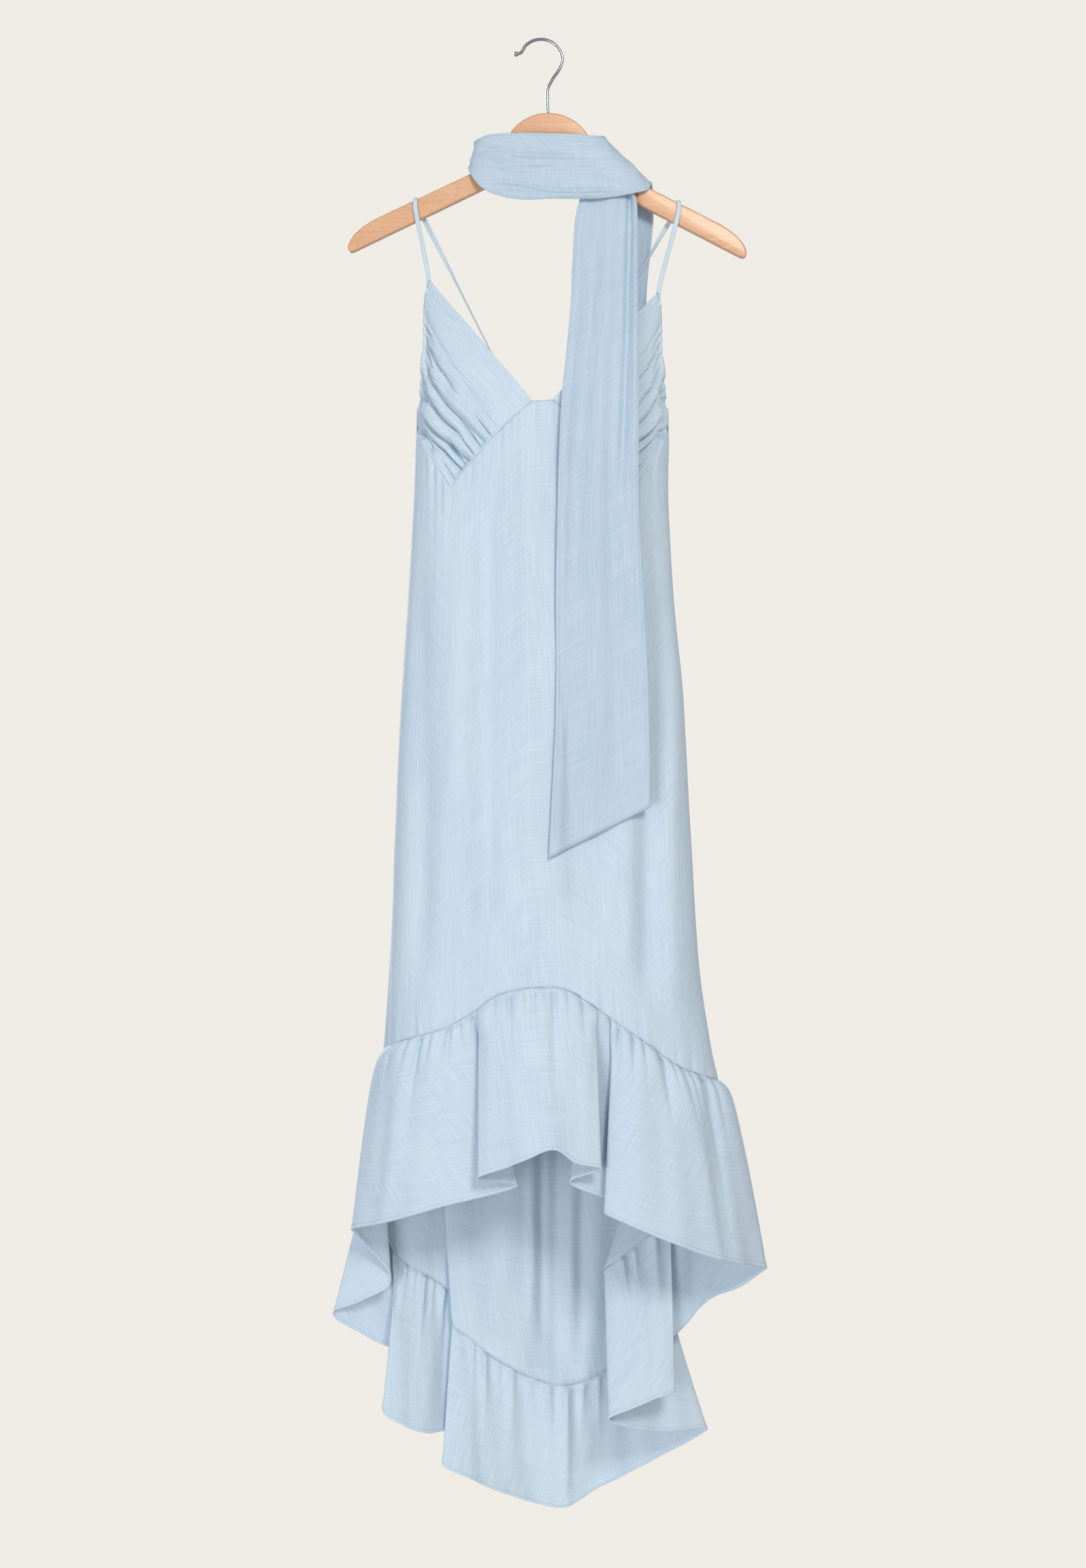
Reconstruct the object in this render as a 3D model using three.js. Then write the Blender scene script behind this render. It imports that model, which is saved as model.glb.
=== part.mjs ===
import * as THREE from "three";

// High-low slip dress with its matching scarf, on a wooden hanger with a wire hook.
// Millimetres, +Z up, -Y is the front of the dress. The origin is the underside of the hook's
// bend, where it rests on whatever holds it. Tables give heights as "down", millimetres below it.

// Driving sizes
const CLOTH = 1.2; // wall of one layer of cloth with its hems
const SEAM_GAP = 0.4; // between pieces that are sewn together
const ROUND = 2.35; // roundness of a level section of the dress, 2 is an ellipse
const STRAP_WIDTH = 5;
const STRAP_THICK = 1.8;
const HANGER_LENGTH = 440;
const HANGER_THICK = 13;
const HANGER_CENTRE = 8; // the hanger hangs a little to the right of the hook's bend
const HANGER_LEAN = 0.014; // radians, right end lower
const WIRE = 4;
const HOOK_RADIUS = 23.6; // of the bend, to the middle of the wire

// The dress, level by level: its two side seams, and how far it stands forward and back
const BODY = [
  { down: 180, left: -139, right: 136, front: 16, back: 16 },
  { down: 264, left: -138, right: 138, front: 30, back: 26 },
  { down: 356, left: -136, right: 139, front: 50, back: 36 },
  { down: 431, left: -137, right: 140.5, front: 56, back: 42 },
  { down: 506, left: -140, right: 140, front: 53, back: 42 },
  { down: 615, left: -146, right: 146, front: 53, back: 46 },
  { down: 750, left: -155, right: 157, front: 58, back: 53 },
  { down: 885, left: -161, right: 165, front: 63, back: 58 },
  { down: 1020, left: -165, right: 174, front: 68, back: 64 },
  { down: 1110, left: -167, right: 187, front: 72, back: 68 },
  { down: 1149, left: -168, right: 195, front: 74, back: 70 },
  { down: 1300, left: -172, right: 204, front: 76, back: 76 },
  { down: 1500, left: -176, right: 208, front: 78, back: 82 },
];

// Top edge of the front panel: up at the side seams, down under each cup, up to the V
const FRONT_TOP = [
  { x: -137.2, down: 435 },
  { x: -131, down: 444 },
  { x: -115, down: 468 },
  { x: -98, down: 496 },
  { x: -9, down: 404 },
  { x: 12.6, down: 402 },
  { x: 103, down: 494 },
  { x: 119, down: 468 },
  { x: 134, down: 444 },
  { x: 140.5, down: 435 },
];

// Top edge of the back panel, low in the middle
const BACK_TOP = [
  { turn: 0, down: 405 },
  { turn: 0.12, down: 432 },
  { turn: 0.3, down: 495 },
  { turn: 0.5, down: 525 },
  { turn: 0.7, down: 495 },
  { turn: 0.88, down: 432 },
  { turn: 1, down: 405 },
];

// Arched seam between the front panel and its ruffle
const FRONT_SEAM = [
  { x: -167, down: 1111 },
  { x: -111, down: 1087 },
  { x: -75, down: 1068 },
  { x: -47, down: 1048 },
  { x: 9, down: 1039 },
  { x: 32, down: 1044 },
  { x: 57, down: 1060 },
  { x: 101, down: 1091 },
  { x: 153, down: 1128 },
  { x: 196, down: 1149 },
];

// Front ruffle, left to right: where a line of cloth leaves the seam, where its hem hangs,
// and in how many steps the cloth runs on to the next row. Where x turns back, it is folded.
const FRONT_RUFFLE = [
  { fold: "side seam", seam: -167, x: -210, y: -2, down: 1310, steps: 6 },
  { fold: "flare", seam: -136, x: -162, y: -45, down: 1295, steps: 6 },
  { fold: "flare", seam: -98, x: -110, y: -62, down: 1278, steps: 7 },
  { fold: "left pleat, inner fold", seam: -71, x: -25, y: -64, down: 1254, steps: 6 },
  { fold: "left pleat, edge", seam: -66, x: -68, y: -86, down: 1244, steps: 5 },
  { fold: "centre", seam: -42, x: -35, y: -99, down: 1230, steps: 4 },
  { fold: "centre", seam: -21, x: -15, y: -106, down: 1221, steps: 4 },
  { fold: "centre, top of the arch", seam: 9, x: 14, y: -104, down: 1211, steps: 4 },
  { fold: "centre", seam: 34, x: 38, y: -98, down: 1226, steps: 4 },
  { fold: "right pleat, edge", seam: 56, x: 65, y: -90, down: 1233, steps: 5 },
  { fold: "right pleat, inner fold", seam: 61, x: 31, y: -72, down: 1250, steps: 7 },
  { fold: "second pleat, inner fold", seam: 71, x: 94, y: -55, down: 1278, steps: 5 },
  { fold: "second pleat, edge", seam: 83, x: 68, y: -79, down: 1281, steps: 4 },
  { fold: "flare", seam: 95, x: 92, y: -88, down: 1292, steps: 5 },
  { fold: "flare", seam: 115, x: 135, y: -84, down: 1311, steps: 6 },
  { fold: "flare", seam: 150, x: 191, y: -60, down: 1334, steps: 7 },
  { fold: "side seam", seam: 196, x: 250, y: -5, down: 1352, steps: 0 },
];

// Back panel and back ruffle, left to right as seen from the front: where the seam between
// them hangs, where the hem hangs, and the steps to the next row
const BACK_RUFFLE = [
  { fold: "side seam", sx: -167, sy: 0, sdown: 1111, x: -210, y: -2, down: 1310, steps: 3 },
  { fold: "first layer", sx: -173, sy: 9, sdown: 1150, x: -191, y: 11, down: 1333, steps: 2 },
  { fold: "inner fold", sx: -180, sy: 16, sdown: 1193, x: -165, y: 24, down: 1372, steps: 3 },
  { fold: "second layer", sx: -184, sy: 22, sdown: 1215, x: -200, y: 32, down: 1395, steps: 3 },
  { fold: "left tip", sx: -188, sy: 28, sdown: 1240, x: -233, y: 42, down: 1411, steps: 3 },
  { fold: "third layer", sx: -187, sy: 36, sdown: 1284, x: -196, y: 54, down: 1438, steps: 3 },
  { fold: "inner fold", sx: -172, sy: 42, sdown: 1322, x: -146, y: 60, down: 1470, steps: 4 },
  { fold: "left piece, edge", sx: -158, sy: 45, sdown: 1350, x: -176, y: 20, down: 1514, steps: 3 },
  { fold: "left piece", sx: -139, sy: 50, sdown: 1363, x: -150, y: 20, down: 1532, steps: 3 },
  { fold: "left piece", sx: -119, sy: 56, sdown: 1376, x: -127, y: 31, down: 1542, steps: 3 },
  { fold: "left piece", sx: -101, sy: 61, sdown: 1390, x: -101, y: 54, down: 1544, steps: 2 },
  { fold: "inner fold", sx: -89, sy: 62, sdown: 1407, x: -79, y: 67, down: 1558, steps: 3 },
  { fold: "centre piece, edge", sx: -100, sy: 49, sdown: 1424, x: -111, y: 36, down: 1577, steps: 3 },
  { fold: "centre piece", sx: -79, sy: 46, sdown: 1440, x: -80, y: 40, down: 1594, steps: 3 },
  { fold: "centre piece", sx: -44, sy: 52, sdown: 1467, x: -44, y: 62, down: 1615, steps: 5 },
  { fold: "centre back", sx: 22, sy: 66, sdown: 1496, x: 22, y: 100, down: 1638, steps: 4 },
  { fold: "centre piece", sx: 69, sy: 73, sdown: 1483, x: 71, y: 98, down: 1615, steps: 4 },
  { fold: "centre piece", sx: 106, sy: 75, sdown: 1451, x: 124, y: 84, down: 1585, steps: 4 },
  { fold: "right tip", sx: 150, sy: 64, sdown: 1425, x: 187, y: 58, down: 1542, steps: 4 },
  { fold: "hidden layer", sx: 126, sy: 51, sdown: 1403, x: 140, y: 38, down: 1541, steps: 3 },
  { fold: "hidden layer", sx: 97, sy: 39, sdown: 1381, x: 106, y: 22, down: 1535, steps: 3 },
  { fold: "right piece, edge", sx: 70, sy: 24, sdown: 1361, x: 74, y: 2, down: 1521, steps: 3 },
  { fold: "right piece", sx: 87, sy: 15, sdown: 1345, x: 100, y: -8, down: 1507, steps: 3 },
  { fold: "right piece", sx: 108, sy: 14, sdown: 1329, x: 125, y: -10, down: 1496, steps: 3 },
  { fold: "right piece, edge", sx: 141, sy: 16, sdown: 1298, x: 148, y: -4, down: 1486, steps: 3 },
  { fold: "inner fold", sx: 153, sy: 24, sdown: 1262, x: 128, y: 13, down: 1457, steps: 4 },
  { fold: "right layer", sx: 172, sy: 24, sdown: 1224, x: 161, y: 24, down: 1420, steps: 3 },
  { fold: "right layer", sx: 184, sy: 15, sdown: 1191, x: 187, y: 25, down: 1392, steps: 3 },
  { fold: "right layer", sx: 191, sy: 7, sdown: 1166, x: 219, y: 14, down: 1377, steps: 3 },
  { fold: "side seam", sx: 195, sy: 0, sdown: 1149, x: 250, y: -5, down: 1352, steps: 0 },
];

// Soft vertical folds of the front panel, standing out of it, or into it where height is below 0
const PANEL_FOLDS = [
  { x: -92, height: 3, width: 26, from: 560, to: 1000 },
  { x: -34, height: -6, width: 24, from: 560, to: 985 },
  { x: 12, height: 3.5, width: 24, from: 480, to: 960 },
  { x: 62, height: -3, width: 22, from: 620, to: 1010 },
  { x: 118, height: -4, width: 20, from: 600, to: 1060 },
];
const PANEL_FOLD_ENDS = { start: 70, end: 60 }; // heights over which a fold starts and dies out

// Outer edge of each cup: from the strap down the armhole to the side seam
const CUP_LEFT = {
  armhole: [
    { x: -122.5, down: 266 },
    { x: -127.5, down: 286 },
    { x: -129.5, down: 316 },
    { x: -131, down: 346 },
    { x: -134, down: 376 },
    { x: -137, down: 405 },
    { x: -138, down: 435 },
  ],
  side: FRONT_TOP.slice(0, 4),
  vee: FRONT_TOP[4],
};
const CUP_RIGHT = {
  armhole: [
    { x: 128.2, down: 280 },
    { x: 131.5, down: 297 },
    { x: 133, down: 316 },
    { x: 134.5, down: 346 },
    { x: 137.5, down: 376 },
    { x: 141, down: 405 },
    { x: 142, down: 435 },
  ],
  side: FRONT_TOP.slice(6).reverse(),
  vee: FRONT_TOP[5],
};

// Gathered folds of a cup: "at" runs from the neckline, 0, to the side, 1; each stands out
// between "from" and "to" on its way from the armhole, 0, to the seam under the bust, 1
const CUP_FOLDS = [
  { at: 0.25, height: 2, from: 0, to: 0.55 },
  { at: 0.33, height: 3.4, from: 0, to: 0.9 },
  { at: 0.41, height: 3, from: 0.05, to: 1 },
  { at: 0.48, height: 4.2, from: 0, to: 0.85 },
  { at: 0.56, height: 3.2, from: 0.15, to: 1 },
  { at: 0.63, height: 4.4, from: 0, to: 1 },
  { at: 0.71, height: 3.4, from: 0.1, to: 0.95 },
  { at: 0.79, height: 4, from: 0, to: 1 },
  { at: 0.87, height: 3.2, from: 0.2, to: 1 },
  { at: 0.95, height: 3, from: 0, to: 0.9 },
];
const CUP_FOLD_WIDTH = 0.026;
const CUP_FOLD_ENDS = 0.11; // share of the way from the armhole over which a fold starts and dies out
const CUP_HEM = { bust: 0.9, side: 0.96 }; // shares from where a cup lies flat towards its seams
const CUP_LEVELS = [0, 0.06, 0.14, 0.26, 0.42, 0.6, 0.78, 0.92, 1];
const SIDE_KNOTS = [0, 0.42, 0.78, 1]; // levels at the four points of the seam below the armhole
const CUP_COLUMNS = 36;
const CUP_FULLNESS = 5;

// Scarf. Both tails hang down: x of their two edges at each height, and how far forward they lie
const FRONT_TAIL = [
  { down: 187, left: 38, right: 106, y: -14 },
  { down: 255, left: 34, right: 106, y: -30 },
  { down: 300, left: 32, right: 106, y: -41 },
  { down: 356, left: 27, right: 106, y: -54 },
  { down: 404, left: 22, right: 106, y: -62 },
  { down: 508, left: 18, right: 106, y: -62 },
  { down: 612, left: 16, right: 111, y: -62 },
  { down: 733, left: 16, right: 117, y: -62 },
  { down: 905, left: 8, right: 118, y: -62 },
];
const FRONT_TAIL_ENDS = { left: 900, right: 845 };
const BACK_TAIL = [
  { down: 195, left: 56, right: 125, y: 17 },
  { down: 285, left: 56, right: 117, y: 30 },
  { down: 400, left: 52, right: 119, y: 47 },
  { down: 620, left: 45, right: 126, y: 50 },
  { down: 800, left: 40, right: 131, y: 50 },
  { down: 860, left: 38, right: 133, y: 50 },
];
const BACK_TAIL_ENDS = { left: 795, right: 850 };
// How far the tails lie off the dress: off the cups, and off the panels from "to" downwards
const TAIL_CLEARANCE = { cups: 8.5, panel: 4, from: 440, to: 560, deepestFold: -3 };
const TAIL_FOLD_WIDTH = 0.11;
const TAIL_FOLDS = [
  { at: 0.2, height: 1.6 },
  { at: 0.5, height: 2.4 },
  { at: 0.82, height: 2 },
];

// The wound stretches, from the front tail over the right arm of the hanger, behind its head
// to the left, over the left arm, across the front and over the right arm again. "a" is the
// edge that lies higher, "b" the lower one.
const SCARF_UP = [
  { ax: 44, ay: -12.5, adown: 170, bx: 105, by: -12.5, bdown: 178, steps: 2 },
  { ax: 60, ay: -11, adown: 150, bx: 101, by: -11, bdown: 166, steps: 2 },
  { ax: 66, ay: -9, adown: 137, bx: 99, by: -8.8, bdown: 153, steps: 2 },
  { ax: 67, ay: -0.4, adown: 132, bx: 98, by: -0.4, bdown: 151, steps: 0 },
];
const SCARF_BEHIND = [
  { ax: 67, ay: 0.6, adown: 132, bx: 98, by: 0.6, bdown: 151, steps: 2 },
  { ax: 66, ay: 9, adown: 135.5, bx: 98, by: 9, bdown: 153, steps: 2 },
  { ax: 58, ay: 10.5, adown: 128, bx: 84, by: 11, bdown: 168, steps: 2 },
  { ax: 36, ay: 10.5, adown: 117, bx: 46, by: 11.5, bdown: 172, steps: 2 },
  { ax: 8, ay: 11, adown: 112, bx: 12, by: 12, bdown: 170, steps: 2 },
  { ax: -28, ay: 10.5, adown: 110, bx: -34, by: 12, bdown: 166, steps: 2 },
  { ax: -54, ay: 10, adown: 108, bx: -64, by: 11, bdown: 156, steps: 2 },
  { ax: -68, ay: 6.5, adown: 107, bx: -75, by: 7.5, bdown: 143, steps: 2 },
  { ax: -71, ay: 0, adown: 107, bx: -78, by: 0, bdown: 139, steps: 0 },
];
const SCARF_ACROSS = [
  { ax: -71, ay: -0.5, adown: 107, bx: -78, by: -0.5, bdown: 139, steps: 2 },
  { ax: -69, ay: -9, adown: 106.5, bx: -77, by: -9.5, bdown: 148, steps: 2 },
  { ax: -58, ay: -16, adown: 106, bx: -71, by: -17, bdown: 168, steps: 3 },
  { ax: -24, ay: -18, adown: 105.5, bx: -36, by: -20, bdown: 177, steps: 3 },
  { ax: 12, ay: -18, adown: 106, bx: 16, by: -21, bdown: 178, steps: 3 },
  { ax: 42, ay: -17, adown: 107, bx: 70, by: -20, bdown: 177, steps: 3 },
  { ax: 60, ay: -14, adown: 108, bx: 104, by: -18, bdown: 171, steps: 2 },
  { ax: 67, ay: -8, adown: 107, bx: 114, by: -11.5, bdown: 160, steps: 2 },
  { ax: 70, ay: -0.3, adown: 107, bx: 119, by: -0.3, bdown: 153, steps: 0 },
];
const SCARF_DOWN = [
  { ax: 70, ay: 0.6, adown: 107, bx: 119, by: 0.6, bdown: 153, steps: 2 },
  { ax: 69, ay: 8.5, adown: 113, bx: 122, by: 10.5, bdown: 158, steps: 2 },
  { ax: 64, ay: 14, adown: 135, bx: 125, by: 15, bdown: 172, steps: 2 },
];
const SCARF_COLUMNS = 6;
const TAIL_STEPS = 16;

const COLUMNS_PER_GATHER = 4;
const GATHER_HEIGHT = 2.6; // at most, just below the seam
const FOLD_REACH = 4; // columns either side that tell how sharply the cloth turns
const FOLD_OPEN = { none: 0.55, full: 0.98 }; // straight distance over the way along the cloth
const FOLD_ROUNDING = { pull: 1.4, most: 0.75 }; // of a sharply turned column to its neighbours
// Down the depth of a ruffle: the share of the fall, and how strong the small gathers are there
const RUFFLE_LEVELS = [
  { fall: 0, gather: 0 },
  { fall: 0.035, gather: 0.6 },
  { fall: 0.09, gather: 1 },
  { fall: 0.18, gather: 0.85 },
  { fall: 0.32, gather: 0.5 },
  { fall: 0.52, gather: 0.2 },
  { fall: 0.76, gather: 0.05 },
  { fall: 1, gather: 0 },
];
// A ruffle swings out fastest just below its seam where the power is below 1
const FLARE_POWER = { front: 0.62, back: 1.05, backFrom: 1150, backTo: 1260 };

// A point between the rows of a table, on a smooth curve through them
function readRow(rows, key, at, name) {
  const last = rows.length - 1;
  const rising = rows[last][key] > rows[0][key] ? 1 : -1;
  let k = 0;
  while (k < last - 1 && (at - rows[k + 1][key]) * rising > 0) k += 1;
  const slope = (i) => {
    const a = Math.max(i - 1, 0);
    const b = Math.min(i + 1, last);
    return (rows[b][name] - rows[a][name]) / (rows[b][key] - rows[a][key]);
  };
  const span = rows[k + 1][key] - rows[k][key];
  const t = THREE.MathUtils.clamp((at - rows[k][key]) / span, 0, 1);
  const start = rows[k][name];
  const end = rows[k + 1][name];
  return (
    start * (2 * t ** 3 - 3 * t ** 2 + 1) +
    slope(k) * span * (t ** 3 - 2 * t ** 2 + t) +
    end * (3 * t ** 2 - 2 * t ** 3) +
    slope(k + 1) * span * (t ** 3 - t ** 2)
  );
}

// The same with straight lines between the rows
function readStraight(rows, key, at, name) {
  let k = 0;
  while (k < rows.length - 2 && at > rows[k + 1][key]) k += 1;
  const t = THREE.MathUtils.clamp((at - rows[k][key]) / (rows[k + 1][key] - rows[k][key]), 0, 1);
  return rows[k][name] + t * (rows[k + 1][name] - rows[k][name]);
}

// Level section of the dress
function section(down) {
  const read = (name) => readRow(BODY, "down", down, name);
  const left = read("left");
  const right = read("right");
  return { middle: (left + right) / 2, half: (right - left) / 2, front: read("front"), back: read("back") };
}

const signedPower = (value, power) => Math.sign(value) * Math.abs(value) ** power;

// A point of the dress: turn runs from 0 at the left side seam to 1 at the right one
function skin(turn, down, side) {
  const { middle, half, front, back } = section(down);
  const cosine = -Math.cos(Math.PI * turn);
  const sine = Math.sin(Math.PI * turn);
  const depth = side === "front" ? -front : back;
  const x = middle + half * signedPower(cosine, 2 / ROUND);
  return new THREE.Vector3(x, depth * sine ** (2 / ROUND), -down);
}

// Level direction straight out of the dress there
function outward(turn, down, side) {
  const { half, front, back } = section(down);
  const cosine = -Math.cos(Math.PI * turn);
  const sine = Math.sin(Math.PI * turn);
  const depth = side === "front" ? -front : back;
  const out = new THREE.Vector3(
    signedPower(cosine, 2 - 2 / ROUND) / half,
    sine ** (2 - 2 / ROUND) / depth,
    0,
  );
  return out.normalize();
}

// The turn at which the dress has a given x at a given level
function turnAt(x, down) {
  const { middle, half } = section(down);
  const reach = THREE.MathUtils.clamp((x - middle) / half, -1, 1);
  return Math.acos(-signedPower(reach, ROUND / 2)) / Math.PI;
}

// How far a plain body of the dress stands forward at x
function frontDepth(x, down) {
  return skin(turnAt(x, down), down, "front").y;
}

function backDepth(x, down) {
  return skin(turnAt(x, down), down, "back").y;
}

// Directions straight out of a grid of points, columns running on in a ring where it closes
function gridNormals(grid, ring) {
  const rows = grid.length;
  const columns = grid[0].length;
  return grid.map((row, r) =>
    row.map((point, c) => {
      const before = ring ? (c + columns - 1) % columns : Math.max(c - 1, 0);
      const after = ring ? (c + 1) % columns : Math.min(c + 1, columns - 1);
      const across = row[after].clone().sub(row[before]);
      const downward = grid[Math.min(r + 1, rows - 1)][c].clone().sub(grid[Math.max(r - 1, 0)][c]);
      return across.cross(downward).negate().normalize();
    }),
  );
}

// A closed wall around a grid of points: both faces and the four edges
function wall(grid, normals, thick) {
  const rows = grid.length;
  const columns = grid[0].length;
  const positions = [];
  for (const side of [0.5, -0.5]) {
    grid.forEach((row, r) =>
      row.forEach((point, c) => {
        positions.push(...point.clone().addScaledVector(normals[r][c], side * thick).toArray());
      }),
    );
  }
  const faces = [];
  const outer = (r, c) => r * columns + c;
  const inner = (r, c) => rows * columns + outer(r, c);
  const quad = (a, b, c, d) => faces.push(a, b, c, a, c, d);
  for (let r = 0; r < rows - 1; r += 1) {
    for (let c = 0; c < columns - 1; c += 1) {
      quad(outer(r, c), outer(r + 1, c), outer(r + 1, c + 1), outer(r, c + 1));
      quad(inner(r, c), inner(r, c + 1), inner(r + 1, c + 1), inner(r + 1, c));
    }
  }
  for (let r = 0; r < rows - 1; r += 1) {
    quad(outer(r, 0), inner(r, 0), inner(r + 1, 0), outer(r + 1, 0));
    quad(outer(r, columns - 1), outer(r + 1, columns - 1), inner(r + 1, columns - 1), inner(r, columns - 1));
  }
  for (let c = 0; c < columns - 1; c += 1) {
    quad(outer(0, c), outer(0, c + 1), inner(0, c + 1), inner(0, c));
    quad(outer(rows - 1, c), inner(rows - 1, c), inner(rows - 1, c + 1), outer(rows - 1, c + 1));
  }
  const geometry = new THREE.BufferGeometry();
  geometry.setAttribute("position", new THREE.Float32BufferAttribute(positions, 3));
  geometry.setIndex(signedVolume(positions, faces) < 0 ? faces.reverse() : faces);
  return geometry;
}

function signedVolume(positions, faces) {
  const corner = (i) => new THREE.Vector3().fromArray(positions, 3 * faces[i]);
  let volume = 0;
  for (let i = 0; i < faces.length; i += 3) {
    volume += corner(i).dot(corner(i + 1).cross(corner(i + 2)));
  }
  return volume;
}

const part = new THREE.Group();
const cloth = new THREE.MeshStandardMaterial({ color: 0xc3d6e5, roughness: 0.8, metalness: 0 });
const wood = new THREE.MeshStandardMaterial({ color: 0xddb08a, roughness: 0.45, metalness: 0 });
const steel = new THREE.MeshStandardMaterial({ color: 0xc9cbcd, roughness: 0.2, metalness: 1 });

// Seam ring: the lower edges of both panels, where both ruffles hang.
// Columns of cloth run along a ruffle, each at a row of its table and a share of the way on.
function stationsOf(rows) {
  const stations = [];
  rows.slice(0, -1).forEach((row, k) => {
    for (let i = 0; i < row.steps; i += 1) stations.push({ k, share: i / row.steps });
  });
  stations.push({ k: rows.length - 2, share: 1 });
  return stations;
}

function curveThrough(points) {
  return new THREE.CatmullRomCurve3(points, false, "centripetal");
}

function alongCurve(curve, rows, { k, share }) {
  return curve.getPoint((k + share) / (rows.length - 1));
}

const frontSeamTurns = FRONT_SEAM.map(({ x, down }) => ({ turn: turnAt(x, down), down }));
const frontRowTurns = FRONT_RUFFLE.map(({ seam }) => turnAt(seam, readRow(FRONT_SEAM, "x", seam, "down")));
frontRowTurns[0] = 0;
frontRowTurns[frontRowTurns.length - 1] = 1;
const frontHem = curveThrough(FRONT_RUFFLE.map(({ x, y, down }) => new THREE.Vector3(x, y, -down)));

const frontColumns = stationsOf(FRONT_RUFFLE).map((station) => {
  const { k, share } = station;
  const turn = THREE.MathUtils.lerp(frontRowTurns[k], frontRowTurns[k + 1], share);
  const down = readRow(frontSeamTurns, "turn", turn, "down");
  return {
    turn,
    seam: skin(turn, down, "front"),
    out: outward(turn, down, "front"),
    hem: alongCurve(frontHem, FRONT_RUFFLE, station),
  };
});

const backSeam = curveThrough(BACK_RUFFLE.map(({ sx, sy, sdown }) => new THREE.Vector3(sx, sy, -sdown)));
const backHem = curveThrough(BACK_RUFFLE.map(({ x, y, down }) => new THREE.Vector3(x, y, -down)));
const backColumns = stationsOf(BACK_RUFFLE).map((station) => ({
  seam: alongCurve(backSeam, BACK_RUFFLE, station),
  hem: alongCurve(backHem, BACK_RUFFLE, station),
}));

// Above its folds the back is spread by the level length of its seam
const levelStep = (from, to) => Math.hypot(to.x - from.x, to.y - from.y);
let levelLength = 0;
backColumns.forEach((column, i) => {
  const before = backColumns[Math.max(i - 1, 0)].seam;
  const after = backColumns[Math.min(i + 1, backColumns.length - 1)].seam;
  levelLength += levelStep(before, column.seam);
  column.turn = levelLength;
  column.out = new THREE.Vector3(before.y - after.y, after.x - before.x, 0).normalize();
});
backColumns.forEach((column) => {
  column.turn /= levelLength;
});

// The two halves share the columns at the side seams
const seamRing = [...frontColumns, ...backColumns.slice(1, -1).reverse()];
const rightSideIndex = frontColumns.length - 1;

// Rounds off the sharpest turns of the folds
for (const name of ["seam", "hem"]) {
  const points = seamRing.map((column) => column[name]);
  seamRing.forEach((column, i) => {
    const before = points[(i + points.length - 1) % points.length];
    const after = points[(i + 1) % points.length];
    const path = levelStep(before, points[i]) + levelStep(points[i], after);
    const turned = 1 - levelStep(before, after) / path;
    if (i % rightSideIndex === 0 || (name === "seam" && i < rightSideIndex)) return;
    const pull = Math.min(FOLD_ROUNDING.pull * turned, FOLD_ROUNDING.most);
    column[name] = points[i].clone().lerp(before.clone().lerp(after, 0.5), pull);
  });
}
seamRing.forEach((column, i) => {
  const before = seamRing[(i + seamRing.length - 1) % seamRing.length].seam;
  const after = seamRing[(i + 1) % seamRing.length].seam;
  column.below = after.clone().sub(before).cross(column.out).normalize();
});
Object.assign(backColumns[0], frontColumns[0], { turn: 0 });
Object.assign(backColumns[backColumns.length - 1], frontColumns[rightSideIndex], { turn: 1 });

function place(name, geometry, material) {
  const mesh = new THREE.Mesh(geometry, material);
  mesh.name = name;
  part.add(mesh);
}

const smooth = (value, from, to) => THREE.MathUtils.smoothstep(value, from, to);
const bump = (distance, width) => Math.exp(-((distance / width) ** 2));

// Front panel, its columns running from kinks of its top edge to every second column of the seam
function panelFold(x, down) {
  let out = 0;
  for (const fold of PANEL_FOLDS) {
    const start = smooth(down, fold.from - PANEL_FOLD_ENDS.start, fold.from + PANEL_FOLD_ENDS.start);
    const strength = start * (1 - smooth(down, fold.to - PANEL_FOLD_ENDS.end, fold.to));
    out += fold.height * strength * bump(x - fold.x, fold.width);
  }
  return out;
}

const panelColumns = frontColumns.filter((column, i) => i % 2 === 0 || i === rightSideIndex);
const topKinks = FRONT_TOP.map(({ x, down }) => {
  const turn = turnAt(x, down);
  const nearest = panelColumns.reduce(
    (best, column, i) => (Math.abs(column.turn - turn) < Math.abs(panelColumns[best].turn - turn) ? i : best),
    0,
  );
  return { column: nearest, turn, down };
});

const PANEL_LEVELS = [0, 0.05, 0.16, 0.32, 0.5, 0.68, 0.84, 0.95, 1];
const frontGrid = PANEL_LEVELS.map((level) =>
  panelColumns.map((column, c) => {
    const topTurn = readStraight(topKinks, "column", c, "turn");
    const turn = THREE.MathUtils.lerp(topTurn, column.turn, smooth(level, 0, 1));
    const seam = column.seam.clone().addScaledVector(column.below, -SEAM_GAP);
    const top = readStraight(topKinks, "column", c, "down") + SEAM_GAP / 2;
    const down = THREE.MathUtils.lerp(top, -seam.z, level);
    const point = level === 1 ? seam : skin(turn, down, "front");
    const fold = panelFold(point.x, down);
    const out = outward(turn, down, "front");
    return { point: point.addScaledVector(out, fold), out };
  }),
);

for (const row of frontGrid) {
  row[0].point.y -= SEAM_GAP / 2;
  row[row.length - 1].point.y -= SEAM_GAP / 2;
}
const pointsOf = (grid) => grid.map((row) => row.map(({ point }) => point));
const normalsOf = (grid) => grid.map((row) => row.map(({ out }) => out));
place("front_panel", wall(pointsOf(frontGrid), normalsOf(frontGrid), CLOTH), cloth);

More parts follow.
